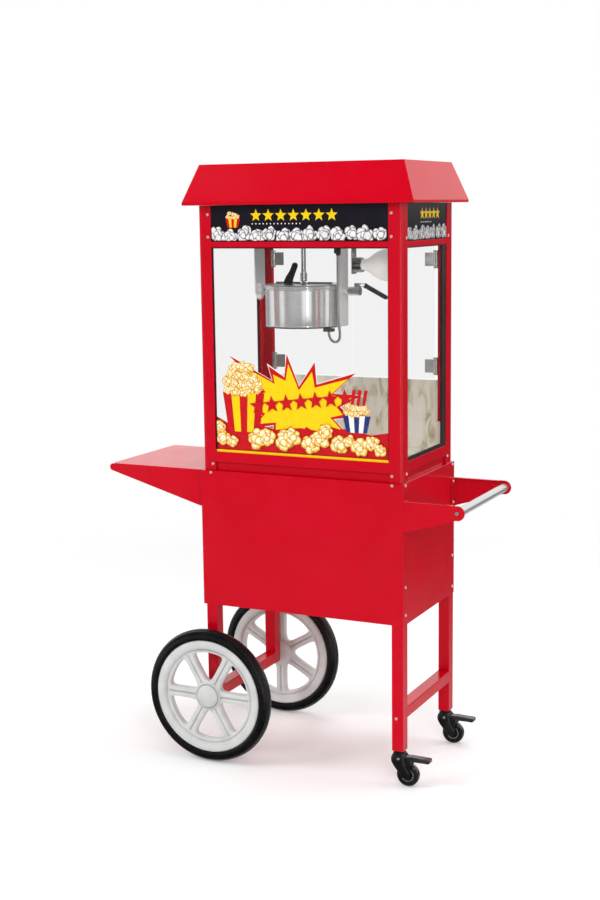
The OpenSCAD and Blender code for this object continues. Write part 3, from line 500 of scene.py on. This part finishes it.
# The studio all round at eye level, as (turn, brightness); the turn goes from 0 at -Y, by -X, back to 1
STRIPS = ((0.0, 0.30), (0.045, 0.22), (0.065, 0.10), (0.09, 0.12), (0.11, 0.80), (0.135, 0.75),
          (0.155, 0.06), (0.175, 0.10), (0.20, 0.90), (0.25, 0.85), (0.30, 0.20), (0.40, 0.50),
          (0.54, 0.05), (0.60, 0.06), (0.65, 0.55), (0.69, 0.95), (0.735, 0.95), (0.75, 0.08),
          (0.77, 0.40), (0.82, 0.60), (0.835, 0.06), (0.86, 0.08), (0.875, 1.0), (0.935, 1.0),
          (0.955, 0.25), (1.0, 0.30))
FRONT_ABOVE, BACK_ABOVE = 0.05, 1.0            # brightness above eye level
FRONT_BELOW, BACK_BELOW = 0.04, 0.55           # and well below it
DIFFUSE_LEVEL = 0.38                           # what lights matt surfaces, whatever the direction


def world():
    """A studio whose reflections are bright behind and above, dim in front, striped at eye level."""
    scene_world = bpy.data.worlds.new("studio")
    bpy.context.scene.world = scene_world
    scene_world.use_nodes = True
    graph = Graph(scene_world.node_tree)
    direction = graph.nodes.new("ShaderNodeSeparateXYZ")
    graph.links.new(graph.nodes.new("ShaderNodeTexCoord").outputs["Generated"], direction.inputs[0])
    x, y, z = (direction.outputs[axis] for axis in "XYZ")

    def blended(factor, a, b):
        """a where the factor is 0, b where it is 1."""
        return graph.math("ADD", graph.math("MULTIPLY", a, graph.math("SUBTRACT", 1.0, factor)),
                          graph.math("MULTIPLY", b, factor))

    back = graph.ranged(y, -0.2, 0.3)
    turn = graph.ranged(graph.math("ARCTAN2", x, y), -math.pi, math.pi)
    strips = graph.ramp(turn, [(place, (value, value, value)) for place, value in STRIPS])
    lit = blended(graph.ranged(z, -0.02, 0.10), strips, blended(back, FRONT_ABOVE, BACK_ABOVE))
    lit = blended(graph.ranged(z, -0.25, -0.33), lit, blended(back, FRONT_BELOW, BACK_BELOW))
    path = graph.nodes.new("ShaderNodeLightPath")
    lit = blended(path.outputs["Is Diffuse Ray"], lit, DIFFUSE_LEVEL)
    lit = blended(path.outputs["Is Camera Ray"], lit, 1.0)
    graph.links.new(lit, graph.nodes["Background"].inputs["Color"])


def floor():
    """A pale round floor whose rim fades away."""
    bm = bmesh.new()
    lathe(bm, [(0, -0.6), (1500, -0.6), (3200, -0.6)], Vector((0, 0, 0)), Z_AXIS, 64)
    look = Look("pale_floor")
    look.colours(look.noise(3), [(0.3, (0.86, 0.86, 0.86)), (0.7, (0.88, 0.88, 0.88))])
    look.shader.inputs["Roughness"].default_value = 0.6
    look.shader.inputs["Emission Color"].default_value = (1, 1, 1, 1)
    look.shader.inputs["Emission Strength"].default_value = 0.16
    length = look.nodes.new("ShaderNodeVectorMath")
    length.operation = "LENGTH"
    look.links.new(look.coords, length.inputs[0])
    fade = look.ranged(length.outputs["Value"], 2.0, 3.1, 1.0, 0.0)
    look.links.new(fade, look.shader.inputs["Alpha"])
    ground = new_piece("floor", bm, look.material)
    ground.visible_glossy = False


# ---------- cabinet ----------

def roof():
    """Hipped roof: folded slopes with rounded hips, an upright lip and a turned-in hem at the eaves."""
    low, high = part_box("roof")
    top_inset = Vector((35, 31)) * MM
    hem = (60 * MM, 40 * MM)
    lip = 7 * MM
    sheet = 2 * MM
    bm = bmesh.new()

    def ring(inset, z):
        return [bm.verts.new((x, y, z)) for x, y in
                ((low.x + inset[0], low.y + inset[1]), (high.x - inset[0], low.y + inset[1]),
                 (high.x - inset[0], high.y - inset[1]), (low.x + inset[0], high.y - inset[1]))]

    inner = (sheet, sheet)
    inner_top = (top_inset.x + sheet, top_inset.y + sheet)
    rings = [ring((0, 0), low.z), ring((0, 0), low.z + lip), ring(top_inset, high.z)]
    inside = [ring(hem, low.z), ring(hem, low.z + sheet), ring(inner, low.z + sheet),
              ring(inner, low.z + lip), ring(inner_top, high.z - sheet)]
    for lower, upper in [*zip(rings, rings[1:]), *zip(inside, inside[1:]), (rings[0], inside[0])]:
        bridge(bm, lower, upper)
    bm.faces.new(rings[-1])
    bm.faces.new(inside[-1])
    piece = new_piece("roof_shell", bm, RED)
    stand_for(round_edges(piece, 2.4 * MM, 4, 15), "roof")


def painted_frame():
    """Rails, posts, legs and folded panels keep their CAD shape, with rounded folds."""
    for node, width in (("corner_posts", 0.5), ("header_rails", 0.8), ("base_rails", 0.8),
                        ("control_panel", 0.35), ("cart_front_panel", 0.5), ("cart_side_panels", 0.5),
                        ("side_shelf", 0.7),
                        ("handle_arms", 0.8), ("left_legs", 0.7), ("right_legs", 0.7), ("side_braces", 0.7),
                        ("cart_shelves", 0.4)):
        edged(node, RED, width)


def steel_parts():
    for node, material, width in (("rear_lower_panel", SHEET, 0.4), ("crumb_drawer", STEEL_X, 0.4),
                                  ("ceiling_plate", STEEL_X, 0.4), ("hanger_left", STEEL_Z, 0.4),
                                  ("hanger_right", STEEL_Z, 0.7), ("lamp_bracket", CHROME, 0.5),
                                  ("door_left_fittings", CHROME, 0.7), ("door_right_fittings", CHROME, 0.7),
                                  ("door_hinge_leaves", CHROME, 0.6), ("tilt_arm", CHROME, 0.7),
                                  ("drive_shaft", CHROME, 0.5), ("stirrer", STEEL_X, 0.4),
                                  ("kettle_cover", STEEL_X, 0.3), ("kettle_flap", STEEL_X, 0.3),
                                  ("handle_tube", STEEL_Y, 0.6), ("axle", STEEL_Y, 0.8)):
        edged(node, material, width)
    # The deck shares the rear sheet's painted reflection streaks.
    repaint("popcorn_deck", SHEET)
    repaint("screws", ZINC)
    repaint("kettle_heater", CAST)


def dark_parts():
    for node, material, width in (("window_gaskets", RUBBER, 0.4), ("motor", MOTOR, 1.5),
                                  ("lead_plug", BLACK, 0.3), ("heat_switch", BLACK, 0.8),
                                  ("motor_switch", BLACK, 0.8),
                                  ("lamp_switch", BLACK, 0.8), ("power_inlet", BLACK, 0.5),
                                  ("castor_stems", GLOSS_BLACK, 0.8), ("sign_panels", SIGN, 0.3)):
        edged(node, material, width)


def panes():
    for node in ("front_glass", "side_glass", "door_left_glass", "door_right_glass"):
        edged(node, PANE, 0.4)


# ---------- printed graphics ----------

PRINT_HALF = 236                               # half the printed width at the front, in mm


class Print:
    """A printed face: flat shapes laid on each other from the surface outwards."""

    layer = 0.03 * MM
    rim_points = 18

    def __init__(self, origin, right, normal):
        self.origin, self.right, self.normal = origin, right, normal
        self.height = 0
        self.sheets = {}

    def point(self, u, v):
        proud = self.normal * (self.height * self.layer)
        return self.origin + self.right * u * MM + Z_AXIS * v * MM + proud

    def shape(self, outline, material):
        """A filled outline of (across, up) points in mm."""
        self.height += 1
        bm = self.sheets.setdefault(material.name, (bmesh.new(), material))[0]
        slab(bm, [self.point(u, v) for u, v in outline], self.normal, self.layer * 0.8)

    def puff(self, u, v, radius, material, limits=None):
        """A round lobe of popcorn, shaded towards its rim."""
        self.height += 0.25
        bm = self.sheets.setdefault(material.name, (bmesh.new(), material))[0]
        shade = bm.verts.layers.float.get("shade") or bm.verts.layers.float.new("shade")
        hub = bm.verts.new(self.point(u - 0.2 * radius, v + 0.25 * radius))
        hub[shade] = 0.0
        rim = []
        for k in range(self.rim_points):
            a = math.tau * k / self.rim_points
            ripple = radius * (1 + 0.06 * math.sin(3 * a + u) + 0.05 * math.sin(5 * a + v))
            x, z = u + ripple * math.cos(a), v + ripple * math.sin(a)
            if limits:
                x, z = min(max(x, limits[0]), limits[1]), min(max(z, limits[2]), limits[3])
            rim.append(bm.verts.new(self.point(x, z)))
            rim[-1][shade] = 1.0
        for k in range(self.rim_points):
            bm.faces.new((hub, rim[k], rim[(k + 1) % self.rim_points]))

    def popcorn(self, u, v, size, material, seed, limits=None):
        """One popped kernel as a cluster of lobes."""
        rng = random.Random(seed)
        for ring_radius, count, lobe in ((0.54, 6, 0.46), (0.22, 3, 0.44)):
            for k in range(count):
                a = math.tau * (k + rng.random() * 0.7) / count
                r = ring_radius * size * (0.8 + 0.4 * rng.random())
                self.puff(u + r * math.cos(a), v + r * math.sin(a) * 0.85,
                          lobe * size * (0.75 + 0.45 * rng.random()), material, limits=limits)

    def done(self, name, node):
        """Turns the shapes of each ink into one piece on the node."""
        for label, (bm, material) in self.sheets.items():
            mesh = bpy.data.meshes.new(f"{name}_{label}")
            bm.to_mesh(mesh)
            bm.free()
            piece = bpy.data.objects.new(mesh.name, mesh)
            bpy.context.scene.collection.objects.link(piece)
            mesh.materials.append(material)
            add_to(piece, node)


def star(u, v, outer, inner, tips, turn=90.0):
    """Outline of a star, alternately out and in."""
    points = []
    for k in range(2 * tips):
        a = math.radians(turn) + math.pi * k / tips
        r = outer if k % 2 == 0 else inner
        points.append((u + r * math.cos(a), v + r * math.sin(a)))
    return points


# Burst tips as (degrees, reach) round its middle, with the depth of the valley after each
BURST = ((139, 1.42, 0.60), (121, 0.84, 0.58), (99, 0.98, 0.36), (72, 0.86, 0.52), (37, 1.10, 0.62),
         (14, 0.98, 0.66), (-12, 0.82, 0.60), (-34, 0.92, 0.56), (-58, 0.86, 0.50), (-88, 0.80, 0.50),
         (-118, 0.86, 0.56), (-146, 0.90, 0.60), (-170, 0.78, 0.58), (-191, 0.86, 0.60))


def burst(u, v, width, height, grow=0.0):
    """A comic-book burst with tips of uneven length; grow widens it evenly, in mm."""
    points = []
    for (angle, reach, valley), (following, _, _) in zip(BURST, BURST[1:] + ((BURST[0][0] - 360, 0, 0),)):
        between = (angle + following) / 2
        for degrees, r, spread in ((angle, reach, 2.1), (between, valley, 0.8)):
            a = math.radians(degrees)
            points.append((u + (r * width + grow * spread) * math.cos(a),
                           v + (r * height + grow * spread) * math.sin(a)))
    return points


def heap(art, u, v, width, rows, size, corn, seed):
    """Popcorn heaped in rows over the middle of a base line."""
    for row, count in enumerate(rows):
        for k in range(count):
            spread = width * count / rows[0]
            x = u + (k - (count - 1) / 2) * spread / count
            art.popcorn(x, v + row * size * 1.05 + size * 0.3 * math.sin(5.1 * k + row), size * 0.92, corn,
                        seed + 17 * row + k)


def striped_cup(art, u, v, width, height, stripe, ground, bars=5):
    """A tapering paper cup with stripes; u, v is the middle of its base."""
    foot = width * 0.37
    brim = width * 0.5
    art.shape([(u - foot, v), (u + foot, v), (u + brim, v + height), (u - brim, v + height)], ground)
    for k in range(0, bars, 2):
        a, b = k / bars * 2 - 1, (k + 1) / bars * 2 - 1
        art.shape([(u + a * foot, v), (u + b * foot, v),
                   (u + b * brim, v + height), (u + a * brim, v + height)], stripe)


# Popcorn along the window's lower edge, as (across, up, size)
BAND_CORN = ((-216, 850, 25), (-224, 876, 18), (-190, 840, 16), (-118, 850, 30), (-92, 856, 24),
             (-44, 850, 28), (-22, 862, 24), (30, 848, 28), (54, 860, 26), (70, 878, 20), (108, 848, 26),
             (132, 858, 18), (160, 846, 24), (190, 858, 22), (214, 842, 18))


def window_print():
    """Foil on the front window: a burst, cups of popcorn and a red band of popcorn, without lettering."""
    half = PRINT_HALF
    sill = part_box("base_rails")[1].z / MM
    art = Print(Vector((MID_X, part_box("front_glass")[0].y - 0.1 * MM, 0)), X_AXIS, -Y_AXIS)
    for grow, material in ((9, WHITE_INK), (6, RED_INK), (-6, YELLOW)):
        art.shape(burst(-8, 940, 168, 118, grow), material)
    art.shape([(-half, sill), (half, sill), (half, 884), (190, 876), (120, 888), (60, 878), (0, 884),
               (-70, 876), (-130, 888), (-190, 880), (-half, 902)], RED_INK)
    striped_cup(art, -158, 866, 118, 100, RED_INK, YELLOW)
    heap(art, -160, 972, 104, (5, 5, 4, 3), 17, BUTTERED, 5)
    for k in range(7):
        art.shape(star(-118 + 40 * k, 934 + 5 * k, 23, 10, 5, turn=96), RED_INK)
    for k in range(3):
        art.shape([(134 + 14 * k, 920), (140 + 14 * k, 919), (150 + 16 * k, 984), (141 + 16 * k, 986)],
                  RED_INK)
    striped_cup(art, 152, 880, 74, 42, BLUE_INK, WHITE_INK)
    heap(art, 152, 930, 68, (5, 4), 11, BUTTERED, 9)
    edge = 6
    limits = (-half, half, sill + edge + 1, 1200)
    for k, (x, z, size) in enumerate(BAND_CORN):
        art.popcorn(x, z, size, BUTTERED, 31 + k, limits)
    art.shape([(-half, sill), (half, sill), (half, sill + edge), (-half, sill + edge)], YELLOW)
    art.done("window_print", "front_glass")


def sign_print():
    """Front and side signs: a row of stars over heaped popcorn; the side signs' popcorn is a darker copy,
    painted shade.
    """
    low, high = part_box("sign_panels")
    z0 = low.z / MM
    proud = 0.05 * MM
    side_half = 132
    # name, origin, rightwards, outwards, half width, stars, first star and the step between them
    faces = (("front_sign", Vector((MID_X, low.y - proud, 0)), X_AXIS, -Y_AXIS, PRINT_HALF, 7, -112, 34),
             ("right_sign", Vector((high.x + proud, 0, 0)), Y_AXIS, X_AXIS, side_half, 5, -34, 26),
             ("left_sign", Vector((low.x - proud, 0, 0)), -Y_AXIS, -X_AXIS, side_half, 5, -34, 26))
    for number, (name, origin, right, normal, half, stars, first, pitch) in enumerate(faces):
        art = Print(origin, right, normal)
        for k in range(stars):
            art.shape(star(first + pitch * k, z0 + 63, 16, 7, 5), YELLOW)
        for k in range(stars * 2):
            art.shape(star(first - 10 + pitch / 3.4 * k, z0 + 43, 2.0, 1.4, 6), WHITE_INK)
        if number == 0:
            striped_cup(art, -176, z0 + 34, 40, 22, RED_INK, YELLOW)
            heap(art, -176, z0 + 60, 36, (4, 3), 6.5, BUTTERED, 3)
        # The side signs take the darkened popcorn: painted shade.
        corn = WHITE_CORN if number == 0 else SIDE_CORN_PAINTED_SHADE
        rng = random.Random(40 + number)
        limits = (-half, half, z0 + 1.5, z0 + 80)
        count = round(2 * half / 37)
        for k in range(count):
            x = -half + 18 + k * (2 * half - 36) / (count - 1)
            art.popcorn(x, z0 + 11 + 8 * rng.random(), 20 + 6 * rng.random(), corn, 90 + 7 * k, limits)
        art.done(name, "sign_panels")


# ---------- kettle and lamp ----------

POT_R = 98.5
POT_FLOOR_Z = 1140
PIVOT_X = 98                                   # where the trunnions leave the pot


def kettle():
    """Polished pot with a rolled rim over a dark seam and a folded base edge."""
    low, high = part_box("kettle_pot")
    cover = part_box("kettle_cover")
    x = (cover[0].x + cover[1].x) / 2
    radius, floor_z = POT_R, POT_FLOOR_Z
    base, top = low.z / MM, high.z / MM
    bm = bmesh.new()
    outline = [(0, floor_z), (radius - 2.4, floor_z), (radius - 2.4, base + 0.2), (radius - 0.8, base)]
    outline += arc(radius - 0.8, base + 1.5, 1.3, -60, 60, 4)
    outline += [(radius - 0.4, base + 4), (radius, base + 5.5), (radius, top - 12.5),
                (radius - 1.0, top - 12), (radius - 1.0, top - 10.5)]
    outline += arc(radius - 0.4, top - 8, 2.4, -80, 80, 6)
    outline += [(radius - 0.2, top - 5.3)]
    outline += arc(radius - 0.2, top - 2.9, 2.6, -75, 180, 10)
    outline += [(radius - 3.2, top - 6), (radius - 3.2, floor_z + 6)]
    outline += [(radius - 9, floor_z + 3), (9, floor_z + 3), (9, floor_z + 9), (4.2, floor_z + 9),
                (4.2, floor_z + 5), (0, floor_z + 5)]
    lathe(bm, outline, Vector((x, 0, 0)), Z_AXIS, 128)
    tilt = pivot_of("kettle_tilt")
    for end, start, sign in ((high.x, x + PIVOT_X * MM, 1), (low.x, x - PIVOT_X * MM, -1)):
        length = abs(end - start) / MM
        root = Vector((start, 0, tilt.z))
        lathe(bm, [(0, 0), (7, 0), (7, length - 1), (6, length), (0, length)], root, X_AXIS * sign, 32)
        lathe(bm, [(0, 0), (13, 0), (13, 2), (11.5, 3.2), (0, 3.2)], root, X_AXIS * sign, 6)
    stand_for(new_piece("kettle_pot_shown", bm, KETTLE, 28), "kettle_pot")


def flap_lever():
    """A flat bakelite tongue with a rounded tip."""
    low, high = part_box("flap_lever")
    foot, front, back = [(0, 0), (26, 0)], [(28, 12), (37, 34), (44, 50)], [(20, 38), (8, 22), (1, 8)]
    tip = arc(36, 54, 8, -10, 170, 8)
    scale_x = (high.x - low.x) / (44 * MM)
    scale_z = (high.z - low.z) / (62 * MM)
    outline = [Vector((low.x + u * MM * scale_x, low.y, low.z + v * MM * scale_z))
               for u, v in foot + front + tip + back]
    bm = bmesh.new()
    slab(bm, outline, -Y_AXIS, high.y - low.y)
    stand_for(round_edges(new_piece("flap_lever_shown", bm, BAKELITE), 1.6 * MM, 3), "flap_lever")


def tilt_grip():
    """A fluted black grip on the tilting rod, with a collar and a domed end."""
    start = Vector((MID_X + PIVOT_X * MM, 8 * MM, pivot_of("kettle_tilt").z + 15 * MM))
    end = at(121.6, 101, 1190)
    ahead = (end - start).normalized()
    length = (end - start).length
    flutes, sides_each = 14, 6
    rings = 40
    bare = 5 * MM
    path = [start + ahead * (bare + (length - bare) * i / rings) for i in range(rings + 1)]

    def radius_at(i, k):
        along = i / rings
        wave = math.cos(math.tau * k / sides_each) * 0.38 if 0.08 < along < 0.93 else 0.0
        dome = math.sqrt(max(0.05, 1 - max(0.0, (along - 0.94) / 0.062) ** 2))
        collar = 0.8 if along < 0.06 else 0.0
        return (5.6 + wave + collar) * dome * MM

    bm = bmesh.new()
    sweep(bm, path, radius_at, flutes * sides_each)
    stand_for(new_piece("tilt_grip_shown", bm, BAKELITE, 60), "tilt_grip")


# From the plug at the ceiling down beside the kettle, round below it and up into the terminal box
LEAD_ROUTE = [(45, -31.5, 1303), (45, -31.5, 1290), (45, -31.6, 1270), (44.8, -31.6, 1250),
              (44.5, -31.7, 1230), (44.2, -31.8, 1210), (44, -32, 1190), (44, -32, 1170), (44.5, -32, 1150),
              (46, -32.5, 1132), (48.5, -33.5, 1116), (50.5, -36.5, 1103), (50.5, -41, 1094),
              (47.5, -46, 1089), (42, -49.5, 1088), (36.5, -50.5, 1090.5), (31.5, -50.5, 1095),
              (28, -50, 1101.5), (26.5, -50, 1108), (26.5, -50, 1115.2)]


def kettle_lead():
    """The braided lead: strands cross over and under round the sleeve."""
    path = smooth_path([at(*p) for p in LEAD_ROUTE], 20)
    sides = 24
    strands = 6

    def radius_at(i, k):
        a = math.tau * k / sides
        rise = i * 0.42
        one, other = math.sin(strands * a + rise), math.sin(strands * a - rise)
        return (3.05 + 0.3 * max(one, other)) * MM

    bm = bmesh.new()
    sweep(bm, path, radius_at, sides)
    look = brushed("braided_sleeve", (3, 3, 3), tone=0.62, rough=(0.3, 0.45))
    piece = new_piece("kettle_lead_shown", bm, look, 70)
    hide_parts("kettle_lead")
    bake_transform(piece)


def lamp():
    """A frosted reflector bulb, its neck in the same frosted glass, with a screw cap."""
    low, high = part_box("lamp_bulb")
    y, z = (low.y + high.y) / 2, (low.z + high.z) / 2
    length = (high.x - low.x) / MM
    width = (high.z - low.z) / MM / 2
    neck = [(0, 0), (8, 0.4), (12.6, 3), (12.9, 24)]
    swell = [(width * s, length * t) for s, t in ((0.36, 0.24), (0.42, 0.30), (0.54, 0.37), (0.70, 0.45),
                                                  (0.84, 0.54), (0.93, 0.62), (0.985, 0.71), (1.0, 0.79))]
    front = [(width * s, length * t) for s, t in ((0.985, 0.86), (0.93, 0.915), (0.80, 0.955), (0.6, 0.98),
                                                  (0.36, 0.994), (0.15, 0.999), (0, 1.0))]
    bm = bmesh.new()
    lathe(bm, neck + swell + front, Vector((low.x, y, z)), X_AXIS, 64)
    stand_for(new_piece("lamp_bulb_shown", bm, FROSTED, 40), "lamp_bulb")
    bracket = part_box("lamp_bracket")
    bm = bmesh.new()
    collar = [(14.6, 0), (17.6, 0), (18.4, 1), (18.4, 20), (17.4, 21.5), (17.4, 23), (14.6, 23), (14.6, 0)]
    lathe(bm, collar, Vector((bracket[0].x + 3 * MM, y, z)), X_AXIS, 48)
    add_to(new_piece("lamp_collar", bm, polished("lamp_collar", 0.6, (0.2, 0.3))), "lamp_bracket")


# ---------- wheels ----------

# A large wheel's web, in mm: half a spoke's width, the hub's and the rim's edges, the web's reach,
# the radius at the middle of a gap and the softness of the gap's corners
SPOKE, HUB_R, RIM_R, REACH, GAP_R, SOFT = 13.5, 37.0, 117.0, 122.0, 84.0, 5.5
HALF_SECTOR = math.radians(30)
WHEEL_WIDTH = 36


def smallest(distances, soft):
    """A smooth minimum, which rounds the corners of what it bounds."""
    return -soft * math.log(sum(math.exp(-d / soft) for d in distances))


def gap_depth(x, y):
    """How far a point is inside the gap about +X, from its rounded edge, in mm."""
    r = math.hypot(x, y)
    return smallest([x * 0.5 - abs(y) * math.cos(HALF_SECTOR) - SPOKE, RIM_R - r, r - HUB_R], SOFT)


def gap_ring(angles, level):
    """Points round the gap's middle where it is level deep, or on the sector's edge if that comes first."""
    slant = math.tan(HALF_SECTOR)
    ring = []
    for a in angles:
        c, s = math.cos(a), math.sin(a)
        edges = [-GAP_R * c + math.sqrt(REACH ** 2 - (GAP_R * s) ** 2)]
        for sign in (1, -1):
            slope = sign * s - slant * c
            if slope > 1e-9:
                edges.append(slant * GAP_R / slope)
        inner = (HUB_R * 0.55) ** 2 - (GAP_R * s) ** 2
        if c < 0 and inner > 0:
            edges.append(-GAP_R * c - math.sqrt(inner))
        limit = min(edges)
        t = limit
        if level is not None:
            near, far = 0.0, limit
            for _ in range(40):
                t = (near + far) / 2
                if gap_depth(GAP_R + t * c, t * s) > level:
                    near = t
                else:
                    far = t
            t = min(t, limit * 0.985)
        ring.append((GAP_R + t * c, t * s))
    return ring


def wheel_web(bm, centre, outward, turn, front, back):
    """Six flared spokes with a groove along each, as bands from every gap's rim to the spokes' middles."""
    corner = math.atan2(REACH * math.sin(HALF_SECTOR), REACH * math.cos(HALF_SECTOR) - GAP_R)
    angles = sorted([math.tau * k / 60 for k in range(60)] + [corner, math.tau - corner])
    # depth into the gap, and drop below the web's face
    bands = [(0.0, 4.5), (-0.8, 1.6), (-2.4, 0.2), (-6.5, 0.0), (-10.6, 0.1), (-11.6, 1.4), (None, 6.0)]
    across = outward.cross(Z_AXIS)
    for sector in range(6):
        spin = math.radians(turn + 60 * sector)

        def place(point, w):
            x, y = point
            u = x * math.cos(spin) - y * math.sin(spin)
            v = x * math.sin(spin) + y * math.cos(spin)
            return centre + (across * u + Z_AXIS * v - outward * w) * MM

        faces = [[[bm.verts.new(place(p, face + sign * drop)) for p in gap_ring(angles, level)]
                  for level, drop in bands] for face, sign in ((front, 1), (back, -1))]
        for loops in faces:
            for low, high in zip(loops, loops[1:]):
                bridge(bm, low, high)
        bridge(bm, faces[0][0], faces[1][0])


def wheel(node, tyre_node, turn):
    """A moulded spoked wheel and its solid tyre."""
    low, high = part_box(tyre_node)
    outward = -Y_AXIS if low.y < 0 else Y_AXIS
    face_y = low.y if low.y < 0 else high.y
    centre = Vector(((low.x + high.x) / 2, face_y, (low.z + high.z) / 2))
    rim_r = (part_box(node)[1].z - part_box(node)[0].z) / 2 / MM
    tyre_r = (high.z - low.z) / 2 / MM
    width = WHEEL_WIDTH
    bm = bmesh.new()
    rim = [(rim_r - 33, 9.5), (rim_r - 31, 8.2), (rim_r - 26.6, 8), (rim_r - 25.6, 9.8),
           (rim_r - 24.2, 9.6), (rim_r - 23.4, 5.5), (rim_r - 21.6, 2.4), (rim_r - 19, 0.6),
           (rim_r - 16, 0.1), (rim_r - 8, 0.0), (rim_r - 4.5, 0.5), (rim_r - 1.6, 1.9), (rim_r, 4.6)]
    rim = rim + [(r, width - w) for r, w in rim[::-1]] + [rim[0]]
    lathe(bm, rim, centre, -outward)
    hub = [(0, -6.0), (8, -5.8), (16, -5.0), (22, -3.7), (26.5, -1.7), (29.0, 0.8), (29.8, 3.4),
           (29.8, 8.4), (32.2, 8.6), (32.4, 4.4), (33.8, 3.3), (35.6, 4.2), (36.6, 8), (36.6, 32),
           (30, 37), (26, 39.5), (12, 40), (8.3, 40), (8.3, 30), (0, 30)]
    lathe(bm, hub, centre, -outward, 64)
    wheel_web(bm, centre, outward, turn, 7.5, 28.5)
    stand_for(new_piece(node + "_shown", bm, WHEEL, 38), node)
    bm = bmesh.new()
    half = [(rim_r + 0.1, 3), (rim_r + 1, 1.2), (rim_r + 4, 0.3), (rim_r + 9, 0.1), (tyre_r - 10.5, 0.9),
            (tyre_r - 6.6, 3), (tyre_r - 4, 6), (tyre_r - 2.6, 8.6), (tyre_r - 2.8, 9.3), (tyre_r - 2, 9.7),
            (tyre_r - 0.7, 12.6), (tyre_r, 16)]
    lathe(bm, half + [(r, width - w) for r, w in half[::-1]] + [half[0]], centre, -outward, 128)
    stand_for(new_piece(tyre_node + "_shown", bm, TYRE, 45), tyre_node)


# One cheek of a castor's housing, from its swivel axis: along X and up from the floor, in mm
CHEEK = ((-11, 85), (-16, 79), (-18.5, 71), (-17.5, 62), (-12, 52), (-4, 42), (4, 32), (11, 24),
         (19, 20), (26, 21), (30, 27), (30, 37), (26, 47), (21, 56), (18, 66), (16, 77), (11, 85))
# Its rounding, as (scale about the hub, distance from the middle plane)
CHEEK_LAYERS = ((0.97, 10.7), (0.985, 12.6), (0.96, 14.4), (0.90, 15.7), (0.78, 16.6), (0.5, 17.2))


def castor_hood(place, axis):
    """Rounded cheeks and a domed crown over the housing's plates."""
    node = f"castor_{place}_fork"
    outline = smooth_path([Vector((x, 0, z)) for x, z in CHEEK], 4)
    hub = Vector((4, 0, 58))
    bm = bmesh.new()
    for sign in (1, -1):
        rings = [[bm.verts.new(axis + (hub + (p - hub) * scale + Y_AXIS * sign * y) * MM) for p in outline]
                 for scale, y in CHEEK_LAYERS]
        for low, high in zip(rings, rings[1:]):
            bridge(bm, low, high)
        bm.faces.new(rings[0])
        bm.faces.new(rings[-1])
    crown = [(0, 86), (12, 86), (15, 84.8), (16.8, 82), (17.2, 79), (16.6, 78.5), (0, 78.5)]
    lathe(bm, crown, axis, Z_AXIS, 48)
    add_to(new_piece(f"castor_{place}_hood", bm, GLOSS_BLACK, 40), node)
    bm = bmesh.new()
    for sign in (1, -1):
        lathe(bm, [(0, 18.2), (2.2, 18.0), (3.4, 17.2), (3.4, 16), (0, 16)], axis + Vector((2, 0, 71)) * MM,
              Y_AXIS * sign, 24)
    add_to(new_piece(f"castor_{place}_rivets", bm, CHROME), node)


def castor(place):
    """Housing, wheel and brake pedal of one castor."""
    stem = middle("castor_stems")
    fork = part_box(f"castor_{place}_fork")
    axis = Vector((stem.x, (fork[0].y + fork[1].y) / 2, 0))
    edged(f"castor_{place}_fork", GLOSS_BLACK, 1.0, 3)
    castor_hood(place, axis)
    pedal = f"castor_{place}_pedal"
    edged(pedal, PEDAL, 2.4, 4)
    bm = bmesh.new()
    link = [Vector((x, -8, z)) for x, z in ((19, 62.5), (33, 61.5), (34.5, 63), (34, 65.5), (19, 66))]
    slab(bm, [axis + p * MM for p in link], -Y_AXIS, 16 * MM)
    add_to(round_edges(new_piece(f"castor_{place}_brake_link", bm, CHROME), 0.6 * MM), pedal)
    node = f"castor_{place}_wheel"
    centre = middle(node)
    bm = bmesh.new()
    half = [(3.1, 9.2), (7, 9.2), (8, 8.2), (8.6, 6.4), (13, 6.2), (14, 7.4), (17.5, 7.4), (18.5, 6.4),
            (20.5, 6.6), (22, 9.0), (25.5, 9.3), (28.2, 7.2), (29, 3.6)]
    outline = half + [(r, -w) for r, w in half[::-1]]
    lathe(bm, outline + [outline[0]], centre, Y_AXIS, 64)
    stand_for(new_piece(node + "_shown", bm, GLOSS_BLACK, 35), node)
    bm = bmesh.new()
    for sign in (1, -1):
        lathe(bm, [(0, 9.9), (4.4, 9.9), (5, 9.5), (5, 8.6), (0, 8.6)], centre, Y_AXIS * sign, 6)
    add_to(new_piece(f"castor_{place}_nuts", bm, CHROME), node)
    bm = bmesh.new()
    ring = [(14.2, 7.2), (14.6, 8.2), (16.6, 8.2), (17.0, 7.2), (14.2, 7.2)]
    for sign in (1, -1):
        lathe(bm, ring, centre, Y_AXIS * sign, 48)
    add_to(new_piece(f"castor_{place}_rings", bm, CHROME), node)


# Name, place, aim, size, watts and whether glossy surfaces mirror it
LIGHTS = (("key", (-3.4, -3.0, 3.6), (0, 0, 0.9), (2.4, 2.0), 116, False),
          ("fill", (2.6, -4.2, 3.4), (0, 0, 0.8), (2.6, 2.0), 92, False),
          ("top", (0.4, 0.4, 4.0), (0, 0, 0), (3.0, 3.0), 84, False),
          ("rim", (3.8, 1.4, 2.2), (0, 0, 0.9), (1.6, 2.4), 26, False),
          ("strip", (2.94, -4.05, 2.9), (0, 0, 2.9), (0.22, 6.0), 26, True))

camera()
world()
floor()
for light in LIGHTS:
    soft_light(*light)
roof()
painted_frame()
steel_parts()
dark_parts()
panes()
window_print()
sign_print()
kettle()
flap_lever()
tilt_grip()
kettle_lead()
lamp()
wheel("wheel_front", "tyre_front", 30)
wheel("wheel_rear", "tyre_rear", 0)
castor("front")
castor("rear")

bpy.context.view_layer.update()
